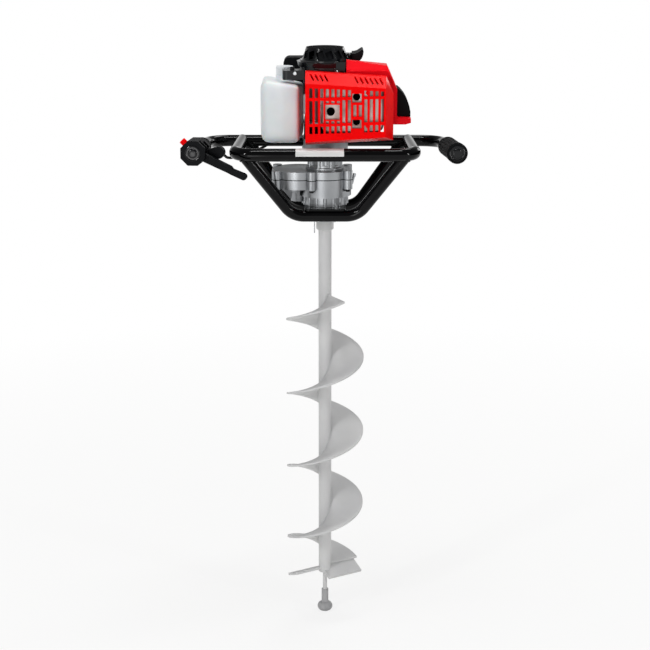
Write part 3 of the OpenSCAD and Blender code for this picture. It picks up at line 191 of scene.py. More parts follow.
# %% Lamps
SOFT_BOXES = {  # place, what it points at, width and height, power in watts
    "left_box": ((-1.9, -2.1, 2.1), (0, 0, 0.9), (0.16, 1.2), 30),
    "right_box": ((2.2, -1.5, 1.7), (0, 0, 0.9), (0.16, 1.0), 15),
    "top_box": ((0.1, -0.2, 3.1), (0, 0, 0.9), (1.2, 0.2), 24),
    "back_box": ((0.4, 1.9, 3.0), (0, 0, 0.9), (1.0, 1.0), 18),
    "rear_box": ((1.7, 2.3, 1.5), (0, 0, 0.9), (0.9, 0.9), 8),
    "low_box": ((-0.8, -2.6, 0.6), (0, 0, 0.4), (0.9, 0.9), 9),
}
for name, (place, aim, (width, height), power) in SOFT_BOXES.items():
    lamp = bpy.data.lights.new(name, "AREA")
    lamp.shape = "RECTANGLE"
    lamp.size, lamp.size_y = width, height
    lamp.energy = power
    box = put(name, lamp)
    box.location = place
    box.rotation_euler = (Vector(aim) - Vector(place)).to_track_quat("-Z", "Y").to_euler()
print(len(SOFT_BOXES), "lamps")

# %% [markdown]
# ## Skins
# Most of this machine is moulded, cast or painted, and such skins differ in the same few ways:
# the colour drifts a little over a hand's breadth, the gloss drifts with it, and a fine grain
# from the mould, the sand or the spray gun breaks up the highlight. One function mixes these,
# with every grain given as a real size in millimetres. Grain under about 1 mm is too fine to
# show in the picture, so it is drawn at about 1 mm.

# %% One function for every skin
TINT_SPAN, ROUGH_SPAN = (0.35, 0.65), (0.3, 0.7)  # a noise seldom leaves the middle of 0 to 1


def skin(name, main, shade, rough, grain, depth, drift=45, metal=0.0, shine=0.5,
         stretch=(1, 1, 1)):
    """Material with drifting colour and roughness, and a bumped grain; sizes in millimetres."""
    material = bpy.data.materials.new(name)
    material.use_nodes = True
    tree = material.node_tree
    shader = tree.nodes["Principled BSDF"]
    place = add_node(tree, "ShaderNodeTexCoord").outputs["Object"]
    patch = add_node(tree, "ShaderNodeTexNoise",
                     {"Vector": place, "Scale": 1000 / drift, "Detail": 4.0}).outputs["Fac"]
    drawn = add_node(tree, "ShaderNodeMapping", {"Vector": place, "Scale": stretch}).outputs[0]
    fine = add_node(tree, "ShaderNodeTexNoise",
                    {"Vector": drawn, "Scale": 1000 / grain, "Detail": 3.0}).outputs["Fac"]
    tint = add_node(tree, "ShaderNodeValToRGB", {"Fac": patch})
    for stop, position, code in zip(tint.color_ramp.elements, TINT_SPAN, (main, shade)):
        stop.position, stop.color = position, colour(code)
    dull = add_node(tree, "ShaderNodeMapRange",
                    {"Value": patch, "From Min": ROUGH_SPAN[0], "From Max": ROUGH_SPAN[1],
                     "To Min": rough[0], "To Max": rough[1]}).outputs[0]
    relief = add_node(tree, "ShaderNodeBump",
                      {"Height": fine, "Distance": depth * MM, "Strength": 1.0}).outputs[0]
    tree.links.new(tint.outputs["Color"], shader.inputs["Base Color"])
    tree.links.new(dull, shader.inputs["Roughness"])
    tree.links.new(relief, shader.inputs["Normal"])
    shader.inputs["Metallic"].default_value = metal
    shader.inputs["Specular IOR Level"].default_value = shine
    return material


finishes = {}
print("helper: skin")

# %% [markdown]
# ## Blacks
# Five blacks and a very dark grey meet here. Epoxy powder baked on the tubes is deep, with a
# slight orange peel about 3 mm across. The nitrile grips come from a blasted mould and are dull.
# Glass filled nylon has a spark eroded grain with a broad, broken sheen, and the levers are a
# greyer batch of it; the starter's cap and the bar ends come from a polished mould, and the cap's
# lid from a coarse one. A black face turned to a white room mirrors it, so these skins are set
# apart by shine and roughness more than by colour.

# %% Black skins
finishes["black_powder_coat"] = skin(
    "powder_coat_gloss_black", "#030304", "#070708",
    rough=(0.06, 0.11), grain=3.0, depth=0.012, shine=0.15)
finishes["black_rubber"] = skin(
    "moulded_rubber_black", "#08090A", "#0E0F10",
    rough=(0.58, 0.70), grain=1.0, depth=0.05, shine=0.07)
finishes["black_plastic"] = skin(
    "nylon_spark_grain_black", "#07080A", "#0D0E11",
    rough=(0.48, 0.60), grain=1.0, depth=0.03, shine=0.08)
finishes["grey_plastic"] = skin(
    "nylon_spark_grain_grey", "#0A0B0D", "#101215",
    rough=(0.44, 0.56), grain=1.0, depth=0.03, shine=0.07)
finishes["polished_black"] = skin(
    "nylon_polished_black", "#08090B", "#0E0F12",
    rough=(0.14, 0.22), grain=4.0, depth=0.02, shine=0.3)
finishes["coarse_black"] = skin(
    "nylon_coarse_grain_black", "#070809", "#0C0D0E",
    rough=(0.78, 0.88), grain=1.2, depth=0.08, shine=0.02)
print(len(finishes), "finishes so far")

# %% [markdown]
# ## Coloured plastics
# The guard is ABS from a polished mould: saturated red with faint flow marks. The hood over the
# cylinder is ABS from another batch, a deeper crimson. The tank is natural polyethylene,
# blow moulded, milky and waxy, and its wall lets a little light in, which is what a subsurface
# share does. The caps are polyethylene too, and the carburettor's spacer is brown resin.

# %% Coloured plastics
finishes["red_plastic"] = skin(
    "abs_gloss_red", "#FA0306", "#F00205",
    rough=(0.24, 0.32), grain=6.0, depth=0.02, drift=70, shine=0.04)
finishes["hood_red"] = skin(
    "abs_gloss_crimson", "#F20A1C", "#E80918",
    rough=(0.34, 0.44), grain=6.0, depth=0.02, drift=70, shine=0.07)
finishes["tank_plastic"] = skin(
    "hdpe_natural_white", "#E2E6E8", "#D8DDDF",
    rough=(0.34, 0.46), grain=7.0, depth=0.06, drift=60, shine=0.3)
milky = finishes["tank_plastic"].node_tree.nodes["Principled BSDF"].inputs
milky["Subsurface Weight"].default_value = 0.2
milky["Subsurface Scale"].default_value = 5 * MM
finishes["cap_plastic"] = skin(
    "polyethylene_light_grey", "#E0E3E6", "#D4D8DB",
    rough=(0.38, 0.48), grain=1.2, depth=0.03, shine=0.3)
finishes["tip_plastic"] = skin(
    "polyethylene_mid_grey", "#B0B0B1", "#A4A4A6",
    rough=(0.42, 0.54), grain=1.2, depth=0.03, shine=0.3)
finishes["bakelite"] = skin(
    "phenolic_resin_brown", "#4A3626", "#3C2B1E", rough=(0.30, 0.42), grain=2.0, depth=0.03)
print(len(finishes), "finishes so far")

# %% [markdown]
# ## Metals
# The gear case is a bead blasted die casting: mid grey and matt, with a fine peened grain. Shafts
# are ground, with marks that run round the part, so their grain is stretched. Gears are hobbed
# and oiled, screws are black oxide or bright zinc, and the rewind spring is blued strip. The
# muffler is aluminised sheet that has run hot and turned straw and brown in places, which a short
# drift between two colours shows.

# %% Metals
finishes["cast_aluminium"] = skin(
    "die_cast_aluminium", "#9EA0A2", "#8D8F92",
    rough=(0.33, 0.42), grain=1.2, depth=0.03, drift=80, metal=1.0)
finishes["machined_steel"] = skin(
    "ground_steel", "#B9BBBD", "#A2A4A7",
    rough=(0.20, 0.32), grain=1.0, depth=0.02, metal=1.0, stretch=(1, 1, 9))
finishes["gear_steel"] = skin(
    "hobbed_oiled_steel", "#8E9093", "#77797C",
    rough=(0.22, 0.34), grain=1.0, depth=0.02, metal=1.0)
finishes["muffler_steel"] = skin(
    "aluminised_sheet_steel", "#B5A8A4", "#8A7268",
    rough=(0.34, 0.50), grain=5.0, depth=0.05, drift=28, metal=1.0)
finishes["black_steel"] = skin(
    "black_oxide_steel", "#1C1C1D", "#262627",
    rough=(0.30, 0.42), grain=1.0, depth=0.02, metal=1.0)
finishes["zinc"] = skin(
    "zinc_plated_steel", "#DCDEDF", "#C6C9CC",
    rough=(0.24, 0.36), grain=1.0, depth=0.02, metal=1.0)
finishes["spring_steel"] = skin(
    "blued_spring_strip", "#4A5058", "#3C4148",
    rough=(0.24, 0.34), grain=1.0, depth=0.02, metal=1.0)
print(len(finishes), "finishes so far")

# %% [markdown]
# ## Paint, foam, ceramic and painted shade
# The welded bit is sprayed with a pale satin enamel, whose grain is that of the spray. The air
# filter is open cell foam with pores about 2 mm across, deep enough to look open. The plug's body
# is glazed ceramic, and the muffler's bores get painted shade: nearly black, without shine.

# %% Paint, foam, ceramic and painted shade
finishes["bit_paint"] = skin(
    "satin_enamel_pale_grey", "#D3D3D3", "#CBCBCC",
    rough=(0.36, 0.50), grain=1.6, depth=0.04, drift=90, shine=0.3)
finishes["filter_foam"] = skin(
    "open_cell_foam", "#6E6B4A", "#57553A", rough=(0.80, 0.92), grain=2.0, depth=0.60, drift=6)
finishes["plug_ceramic"] = skin(
    "glazed_ceramic_white", "#E9E7E1", "#DEDCD4", rough=(0.08, 0.14), grain=4.0, depth=0.01)
# painted shade: a near-black, shineless finish for the shade deep in the muffler's bores
finishes["soot"] = skin(
    "carbon_soot_black", "#040404", "#080707",
    rough=(0.85, 0.95), grain=1.0, depth=0.05, shine=0.05)
print(len(finishes), "finishes")

# %% [markdown]
# ## Putting a finish on a node, and adding a piece
# The record says which material each CAD node is made of, so a node takes its finish by name,
# but for two that come from another batch or mould. A piece of our own rides on a body and hides
# the nodes it stands for. Edges sharper than a set angle stay crisp.

# %% Nodes and pieces
SHARP = math.radians(32)
SPECIAL = {"cylinder_cover": "hood_red", "starter_housing": "polished_black"}
slots = {part["node"]: part["material_slot"] for part in frame["record"]["subparts"]}


def finish_of(node):
    return finishes[SPECIAL.get(node, slots[node])]


def add_piece(name, mesh, body, replaced=(), sharp=SHARP):
    """Shades a mesh, unless sharp is None, links it and hands it to the frame."""
    mesh.name = name
    if sharp is not None:
        mesh.shade_smooth()
        mesh.set_sharp_from_angle(angle=sharp)
    made = put(name, mesh)
    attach(made, body)
    if replaced:
        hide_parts(*replaced)
    print(f"{name}: {len(mesh.polygons)} faces on {body}")
    return made


for node, thing in frame["nodes"].items():
    thing.data.materials.clear()
    thing.data.materials.append(finish_of(node))
print(len(slots), "nodes have a finish")

# %% [markdown]
# ## Working on a mesh
# A modifier is the simplest way to round, thicken or thin a mesh, and a piece is handed over as a
# plain mesh, so one helper runs modifiers and keeps the result. Another copies a CAD node: its
# loose triangles are welded and flat neighbours are joined into one face, so that a modifier
# meets only the real edges.

# %% Modifier and copy helpers
WELD_GAP, FLAT = 2e-6, math.radians(0.6)


def applied(mesh, kind, settings):
    """Plain mesh that is left when one modifier has run over a mesh."""
    holder = put("holder", mesh)
    modifier = holder.modifiers.new(kind, kind)
    for key, value in settings.items():
        setattr(modifier, key, value)
    graph = bpy.context.evaluated_depsgraph_get()
    result = bpy.data.meshes.new_from_object(holder.evaluated_get(graph))
    bpy.data.objects.remove(holder)
    return result


def mesh_of(shape, name, finish=None):
    """Plain mesh from a bmesh, which is freed, with one finish or none."""
    mesh = bpy.data.meshes.new(name)
    shape.to_mesh(mesh)
    shape.free()
    mesh.materials.clear()
    if finish:
        mesh.materials.append(finish)
    return mesh


def welded(node):
    """Bmesh of a CAD node with shared corners."""
    shape = bmesh.new()
    shape.from_mesh(frame["nodes"][node].data)
    bmesh.ops.remove_doubles(shape, verts=shape.verts, dist=WELD_GAP)
    return shape


def welded_copy(node):
    """Copy of a CAD node's mesh with shared corners and whole flat faces."""
    shape = welded(node)
    bmesh.ops.dissolve_limit(shape, angle_limit=FLAT, verts=shape.verts, edges=shape.edges)
    mesh = mesh_of(shape, node, finish_of(node))
    if "custom_normal" in mesh.attributes:
        mesh.attributes.remove(mesh.attributes["custom_normal"])
    return mesh


print("helpers: applied, mesh_of, welded, welded_copy")

# %% [markdown]
# ## Rounded edges
# No moulding, casting or pressing has a knife edge, and it is the thin highlight along an edge
# that tells the eye so. A Bevel modifier rounds the edges of each of these copies. A rounded strip
# would also bend the shading of the wide face beside it, so weighted normals follow: they keep
# wide faces flat and leave the highlight to the strip. The starter's lid takes its coarse grain.

# %% Rounded copies of the hard pieces
EDGE_RADIUS = {  # millimetres
    "gearbox_plate": 0.6, "right_grip": 0.7, "left_grip": 0.7, "throttle_housing": 1.4,
    "gear_case_lower": 0.8, "gear_case_upper": 0.8, "clutch_housing": 0.8, "fan_housing": 0.8,
    "crankcase": 0.8, "engine_cylinder": 0.4, "plug_cap": 2.5, "intake_insulator": 0.6,
    "carburettor": 0.8, "air_filter_base": 0.8, "air_filter_cover": 1.0, "muffler": 1.5,
    "muffler_guard": 0.6, "cylinder_cover": 1.6, "starter_housing": 0.7,
    "bit_collar": 0.5, "cutting_blades": 0.5, "tip_cap": 0.5, "throttle_lever": 1.0,
    "lock_paddle": 1.2, "stop_button": 0.8, "choke_lever": 0.4, "starter_grip": 2.4,
    "fuel_cap": 0.6, "drive_pin": 0.4,
}
CREASE = math.radians(50)
LID_LEVEL, LEVEL_FACE = 1.128, 0.95

for node, radius in EDGE_RADIUS.items():
    rounded = applied(welded_copy(node), "BEVEL", {
        "width": radius * MM, "segments": 2, "limit_method": "ANGLE", "angle_limit": SHARP,
        "use_clamp_overlap": True})
    if node == "starter_housing":
        rounded.materials.append(finishes["coarse_black"])
        for face in rounded.polygons:
            face.material_index = int(face.normal.z > LEVEL_FACE and face.center.z > LID_LEVEL)
    rounded.shade_smooth()
    rounded.set_sharp_from_angle(angle=CREASE)
    rounded = applied(rounded, "WEIGHTED_NORMAL", {"keep_sharp": True})
    add_piece(node + "_rounded", rounded, frame["nodes"][node]["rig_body"], [node],
              sharp=None)

# %% [markdown]
# ## Gasket
# The gear case is cast in two halves with a dark gasket between them, which shows as a thin line
# all round. The line is the lid's own outline: a plane cuts the lid just above the joint, the
# outermost loop of the cut is kept, and a low band along it is thickened into a ring, mostly
# inwards. Cutting the lid saves working out where its lobes and screw bosses meet.

# %% Gasket of the gear case
GASKET_H, GASKET_T, GASKET_SIDE = 1.4 * MM, 0.8 * MM, -0.6
CUT_ABOVE = 2 * MM
shape = welded("gear_case_upper")
split = min(corner.co.z for corner in shape.verts)
bmesh.ops.bisect_plane(shape, geom=shape.verts[:] + shape.edges[:] + shape.faces[:],
                       plane_co=(0, 0, split + CUT_ABOVE), plane_no=(0, 0, 1),
                       clear_inner=True, clear_outer=True)
outline = {min(shape.verts, key=lambda corner: corner.co.x)}
ahead = list(outline)
while ahead:
    corner = ahead.pop()
    beside = {edge.other_vert(corner) for edge in corner.link_edges} - outline
    outline |= beside
    ahead += beside
bmesh.ops.delete(shape, geom=[corner for corner in shape.verts if corner not in outline],
                 context="VERTS")
upper = bmesh.ops.extrude_edge_only(shape, edges=shape.edges)["geom"]
for corner in shape.verts:
    corner.co.z = split + GASKET_H * (0.5 if corner in upper else -0.5)
bmesh.ops.recalc_face_normals(shape, faces=shape.faces)
band = mesh_of(shape, "band", finishes["coarse_black"])
gasket = applied(band, "SOLIDIFY", {"thickness": GASKET_T, "offset": GASKET_SIDE})
add_piece("gear_case_gasket", gasket, "frame")

# %% [markdown]
# ## Blow-moulded tank
# A blow-moulded wall is drawn thin over every edge, so the tank has no crisp edge but at its
# filler. The CAD body is rebuilt in even small faces, each corner then moves towards the mean of
# its neighbours many times over, which rounds the edges by several millimetres, and the faces
# that the flat walls don't need are merged again. The filler's collar is held still.

# %% Soft tank
FILLER, COLLAR_R, COLLAR_Z = Vector((-75.0, 15.0)) * MM, 20 * MM, 1.04
VOXEL, SMOOTH_ROUNDS, KEPT_FACES = 1.4 * MM, 80, 0.3

fine = applied(welded_copy("fuel_tank"), "REMESH", {"mode": "VOXEL", "voxel_size": VOXEL})
shape = bmesh.new()
shape.from_mesh(fine)
free = [corner for corner in shape.verts
        if (corner.co.xy - FILLER).length > COLLAR_R or corner.co.z < COLLAR_Z]
for i in range(SMOOTH_ROUNDS):
    bmesh.ops.smooth_vert(shape, verts=free, factor=0.5, use_axis_x=True, use_axis_y=True,
                          use_axis_z=True)
smooth = mesh_of(shape, "smooth", finish_of("fuel_tank"))
soft_tank = applied(smooth, "DECIMATE", {"ratio": KEPT_FACES})
add_piece("fuel_tank_rounded", soft_tank, "frame", ["fuel_tank"])

# %% [markdown]
# ## Geometry Nodes for what repeats or follows a path
# Tubes, welds, screws and the flight follow a rule, and a rule is best kept as a node tree with
# named sizes. Four helpers are enough: one opens a tree, one closes it with a finish, one runs it
# over a start mesh and keeps the plain result, and one draws the start mesh as lines.

# %% Tree helpers


def geometry_tree(name, sizes):
    """New Geometry Nodes tree with named inputs, and the sockets of its input node."""
    tree = bpy.data.node_groups.new(name, "GeometryNodeTree")
    tree.interface.new_socket("Geometry", in_out="INPUT", socket_type="NodeSocketGeometry")
    for label, kind in sizes.items():
        tree.interface.new_socket(label, in_out="INPUT", socket_type="NodeSocket" + kind)
    tree.interface.new_socket("Geometry", in_out="OUTPUT", socket_type="NodeSocketGeometry")
    return tree, add_node(tree, "NodeGroupInput").outputs


def close_tree(tree, geometry, finish):
    """Ends a tree: instances become one mesh with one finish."""
    whole = add_node(tree, "GeometryNodeRealizeInstances", {"Geometry": geometry}).outputs[0]
    painted = add_node(tree, "GeometryNodeSetMaterial", {"Geometry": whole, "Material": finish})
    add_node(tree, "NodeGroupOutput", {"Geometry": painted.outputs[0]})
    print(f"tree {tree.name}: {len(tree.nodes)} nodes")


def run_tree(tree, start, sizes):
    """Plain mesh that a tree makes from a start mesh, with its inputs set by identifier."""
    holder = put("holder", start)
    modifier = holder.modifiers.new(tree.name, "NODES")
    modifier.node_group = tree
    for item in tree.interface.items_tree:
        if item.in_out == "INPUT" and item.name in sizes:
            modifier[item.identifier] = sizes[item.name]
    graph = bpy.context.evaluated_depsgraph_get()
    result = bpy.data.meshes.new_from_object(holder.evaluated_get(graph))
    holder.modifiers.remove(modifier)
    bpy.data.objects.remove(holder)
    return result


def polyline(*lines):
    """Mesh of open lines through points in millimetres."""
    points, edges = [], []
    for line in lines:
        edges += [(len(points) + i, len(points) + i + 1) for i in range(len(line) - 1)]
        points += [Vector(p) * MM for p in line]
    mesh = bpy.data.meshes.new("path")
    mesh.from_pydata(points, edges, [])
    return mesh


print("helpers: geometry_tree, close_tree, run_tree, polyline")

# %% [markdown]
# ## Frame tubes
# The frame is bent from four lengths of steel tube. A tube is a circle carried along a line with
# rounded corners, so a small tree makes it: the line's corners are filleted to the bend radius,
# and the circle is swept along. The same tree later makes the hood's bead, the throttle cable and
# the starter's rope.

# %% Frame tubes
BEND_STEPS, TUBE_SIDES = 14, 56
tube_tree, given = geometry_tree("bent_tube", {
    "Radius": "Float", "Bend": "Float", "Sides": "Int", "Finish": "Material"})
line = add_node(tube_tree, "GeometryNodeMeshToCurve", {"Mesh": given["Geometry"]}).outputs[0]
bent = add_node(tube_tree, "GeometryNodeFilletCurve",
                {"Curve": line, "Radius": given["Bend"], "Count": BEND_STEPS},
                mode="POLY").outputs[0]
section = add_node(tube_tree, "GeometryNodeCurvePrimitiveCircle",
                   {"Resolution": given["Sides"], "Radius": given["Radius"]}).outputs["Curve"]
wall = add_node(tube_tree, "GeometryNodeCurveToMesh",
                {"Curve": bent, "Profile Curve": section, "Fill Caps": True}).outputs[0]
close_tree(tube_tree, wall, given["Finish"])

BAR_Z, V_Z, GRIP_Z = 944.0, 824.0, 953.0
FRONT_Y, FRONT_V_Y, REAR_Y = -85.0, -80.71, 85.0
BARS = {  # path, radius and bend radius in millimetres
    "front_top_bar": ([(-159, REAR_Y, BAR_Z), (-166, FRONT_Y, BAR_Z), (166, FRONT_Y, BAR_Z),
                       (159, REAR_Y, BAR_Z)], 12.0, 32.0),
    "rear_handlebar": ([(-238, -118, GRIP_Z), (-221, REAR_Y, BAR_Z), (221, REAR_Y, BAR_Z),
                        (238, -118, GRIP_Z)], 11.0, 45.0),
    "front_v_bar": ([(-150, FRONT_V_Y, BAR_Z), (-60, -50, V_Z), (60, -50, V_Z),
                     (150, FRONT_V_Y, BAR_Z)], 11.0, 40.0),
    "rear_v_bar": ([(-150, REAR_Y, BAR_Z), (-60, 50, V_Z), (60, 50, V_Z),
                    (150, REAR_Y, BAR_Z)], 11.0, 40.0),
}
for node, (path, radius, bend) in BARS.items():
    tube = run_tree(tube_tree, polyline(path), {
        "Radius": radius * MM, "Bend": bend * MM, "Sides": TUBE_SIDES, "Finish": finish_of(node)})
    add_piece(node + "_tube", tube, "frame", [node])

# %% [markdown]
# ## Bead round the hood's panel
# The hood's front above the guard is a shallow panel inside a moulded bead, which stiffens the
# thin wall. A bead is a rod half sunk into the wall, so the tube tree draws it round three sides.

# %% Hood bead
HOOD_Y, PANEL_LOW, PANEL_TOP = -45.0, 1068, 1091.4
PANEL = [(42, HOOD_Y, PANEL_LOW), (42, HOOD_Y, PANEL_TOP), (115.5, HOOD_Y, PANEL_TOP),
         (125.5, HOOD_Y, PANEL_LOW)]
bead = run_tree(tube_tree, polyline(PANEL), {
    "Radius": 1.5 * MM, "Bend": 5 * MM, "Sides": 20, "Finish": finishes["hood_red"]})
add_piece("hood_panel_bead", bead, "frame")

# %% [markdown]
# ## A bead of weld
# A hand weld is a row of overlapping drops. Sculpting it would be slow, and a swept rod would look
# too even, so a second tree sets a flattened drop at even steps along any line.

# %% Weld tree
bead_tree, given = geometry_tree("weld_bead", {
    "Drop": "Float", "Spacing": "Float", "Finish": "Material"})
line = add_node(bead_tree, "GeometryNodeMeshToCurve", {"Mesh": given["Geometry"]}).outputs[0]
spots = add_node(bead_tree, "GeometryNodeCurveToPoints",
                 {"Curve": line, "Length": given["Spacing"]}, mode="LENGTH")
drop = add_node(bead_tree, "GeometryNodeMeshUVSphere",
                {"Segments": 8, "Rings": 5, "Radius": given["Drop"]}).outputs["Mesh"]
laid = add_node(bead_tree, "GeometryNodeInstanceOnPoints",
                {"Points": spots.outputs["Points"], "Instance": drop,
                 "Rotation": spots.outputs["Rotation"], "Scale": (1.0, 1.0, 0.75)}).outputs[0]
close_tree(bead_tree, laid, given["Finish"])

# %% [markdown]
# ## Welds of the frame
# The lower bars are welded to the upper ones. The line of each joint is where a slanted tube meets
# a round bar, which a quadratic gives point by point, so no boolean cut is needed to find it.

# %% Welds of the frame
SMOOTH = math.radians(180)
JOINTS = {"front_v_bar": 12.0, "rear_v_bar": 11.2}  # how far from the upper bar's axis, in mm


def joint_line(low, top, tube_r, bar_r, steps=40):
    """Closed line where a tube from low to top meets a bar along X whose axis passes top."""
    along = (Vector(top) - Vector(low)).normalized()
    side = along.orthogonal().normalized()
    other = along.cross(side)
    line = []
    for i in range(steps + 1):
        turn = 2 * math.pi * i / steps
        rim = (side * math.cos(turn) + other * math.sin(turn)) * tube_r
        a = along.y ** 2 + along.z ** 2
        b = -2 * (rim.y * along.y + rim.z * along.z)
        c = rim.y ** 2 + rim.z ** 2 - bar_r ** 2
        back = (-b + math.sqrt(max(0.0, b * b - 4 * a * c))) / (2 * a)
        line.append(Vector(top) + rim - along * back)
    return line


bar_joints = []
for end, corner in ((0, 1), (3, 2)):
    for node, bar_r in JOINTS.items():
        path, tube_r, bend = BARS[node]
        bar_joints.append(joint_line(path[corner], path[end], tube_r, bar_r))
beads = run_tree(bead_tree, polyline(*bar_joints), {
    "Drop": 1.7 * MM, "Spacing": 1.5 * MM, "Finish": finishes["black_powder_coat"]})
add_piece("frame_weld_beads", beads, "frame", sharp=SMOOTH)

# %% [markdown]
# ## The flight
# The bit's screw is a helicoid: radius and turn are its two coordinates, and its height grows
# with the turn. A Screw modifier sweeps a line into a skin without thickness, so a third tree
# starts from a flat block cut into many cells and moves each corner to its place on the helix. The
# plate then has a true thickness, and a Bevel takes the knife edge off its rim.

# %% Helical flight
FLIGHT = {"Inner": 12.55, "Outer": 75.0, "Thick": 4.0, "Low": 84.0, "Pitch": 150.0}
FLIGHT_START, FLIGHT_TURNS, CELLS_PER_TURN = math.radians(30), 3.75, 120

flight_tree, given = geometry_tree("helical_flight", {
    "Inner": "Float", "Outer": "Float", "Thick": "Float", "Low": "Float", "Pitch": "Float",
    "Start": "Float", "Sweep": "Float", "Finish": "Material"})


def calc(operation, *values):
    """Output of a Math node in the flight's tree."""
    return add_node(flight_tree, "ShaderNodeMath", dict(enumerate(values)),
                    operation=operation).outputs[0]


block = add_node(flight_tree, "GeometryNodeMeshCube", {
    "Size": (1, 1, 1), "Vertices X": 6, "Vertices Y": int(FLIGHT_TURNS * CELLS_PER_TURN) + 1,
    "Vertices Z": 2}).outputs["Mesh"]
spot = add_node(flight_tree, "ShaderNodeSeparateXYZ",
                {0: add_node(flight_tree, "GeometryNodeInputPosition").outputs[0]}).outputs
radius = add_node(flight_tree, "ShaderNodeMapRange", {
    "Value": spot["X"], "From Min": -0.5, "From Max": 0.5,
    "To Min": given["Inner"], "To Max": given["Outer"]}).outputs[0]
angle = calc("MULTIPLY_ADD", calc("ADD", spot["Y"], 0.5), given["Sweep"], given["Start"])
turns = calc("DIVIDE", angle, 2 * math.pi)
under = calc("MULTIPLY_ADD", turns, given["Pitch"], given["Low"])
height = calc("MULTIPLY_ADD", calc("ADD", spot["Z"], 0.5), given["Thick"], under)
goal = add_node(flight_tree, "ShaderNodeCombineXYZ", {
    0: calc("MULTIPLY", radius, calc("COSINE", angle)),
    1: calc("MULTIPLY", radius, calc("SINE", angle)), 2: height}).outputs[0]
moved = add_node(flight_tree, "GeometryNodeSetPosition",
                 {"Geometry": block, "Position": goal}).outputs[0]
close_tree(flight_tree, moved, given["Finish"])

sizes = {key: value * MM for key, value in FLIGHT.items()}
sizes.update({"Start": FLIGHT_START, "Sweep": 2 * math.pi * FLIGHT_TURNS,
              "Finish": finishes["bit_paint"]})
helix = run_tree(flight_tree, bpy.data.meshes.new("path"), sizes)
helix = applied(helix, "BEVEL", {"width": 0.6 * MM, "segments": 2, "limit_method": "ANGLE",
                                 "angle_limit": CREASE})
add_piece("flight_plate", helix, "auger", ["flight"])

# %% [markdown]
# ## Welds of the flight
# The plate is welded to the shaft along its inner edge, above and below. The weld tree only needs
# two lines on the same helix, a little off the plate's two faces.

# %% Welds of the flight
ROOT_R, OFF_PLATE, STEPS_PER_TURN = 13.0, 0.4, 60


def helix_line(radius, lift):
    """Line round the shaft at the flight's root, lifted off the plate's underside."""
    steps = int(FLIGHT_TURNS * STEPS_PER_TURN)
    line = []
    for i in range(steps + 1):
        turn = FLIGHT_START + 2 * math.pi * FLIGHT_TURNS * i / steps
        line.append((radius * math.cos(turn), radius * math.sin(turn),
                     FLIGHT["Low"] + FLIGHT["Pitch"] * turn / (2 * math.pi) + lift))
    return line


root_lines = [helix_line(ROOT_R, -OFF_PLATE), helix_line(ROOT_R, FLIGHT["Thick"] + OFF_PLATE)]
root_weld = run_tree(bead_tree, polyline(*root_lines), {
    "Drop": 1.8 * MM, "Spacing": 3.0 * MM, "Finish": finishes["bit_paint"]})
add_piece("flight_weld_beads", root_weld, "auger", sharp=SMOOTH)

# %% [markdown]
# ## Throttle cable
# A control cable is stiff: it leaves the throttle housing, dives under the side rail and climbs
# behind the tank to the carburettor in wide, even bends. The route is the CAD model's. Each of its
# corners needs a bend radius of its own, so the arcs are worked out here, and the tube tree only
# sweeps the line.

# %% Throttle cable
CABLE_R = 2.5
CABLE_CORNERS = [(-210.6, -62.2, 944.5), (-186, -62.2, 942), (-181.5, -25, 927.5),
                 (-150, 10, 927.5), (-110, 66, 938), (-60, 69, 976), (29, 65, 1013)]
CABLE_BENDS = [20, 50, 120, 40, 100]


def filleted(corners, bends, steps=10):
    """Points of a line whose inner corners are rounded to the given radii."""
    stops = [Vector(p) for p in corners]
    line = [stops[0]]
    for before, corner, after, bend in zip(stops, stops[1:], stops[2:], bends):
        ahead, onward = (corner - before).normalized(), (after - corner).normalized()
        turn = ahead.angle(onward)
        inward = (onward - ahead * ahead.dot(onward)).normalized()
        start = corner - ahead * bend * math.tan(turn / 2)
        for i in range(steps + 1):
            a = turn * i / steps
            line.append(start + ahead * bend * math.sin(a) + inward * bend * (1 - math.cos(a)))
    return line + [stops[-1]]


cable_line = filleted(CABLE_CORNERS, CABLE_BENDS)
cable = run_tree(tube_tree, polyline(cable_line), {
    "Radius": CABLE_R * MM, "Bend": 0.0, "Sides": 20, "Finish": finishes["black_rubber"]})
cable = add_piece("throttle_cable_sheath", cable, "frame", ["throttle_cable"])

# %% [markdown]
# ## One socket screw
# A socket head screw has a knurled head and a hexagon socket. Every level of it is one ring of
# points, so a list of rings, joined by quads, gives the whole screw, and a short zinc one differs
# from a long black one only in its sizes.

# %% Socket screw
KNURL, UNDERCUT = 0.15, 0.3
TOP_WIDTH, TOP_HEIGHT, SOCKET_FLOOR = 0.6, 0.7, 0.45


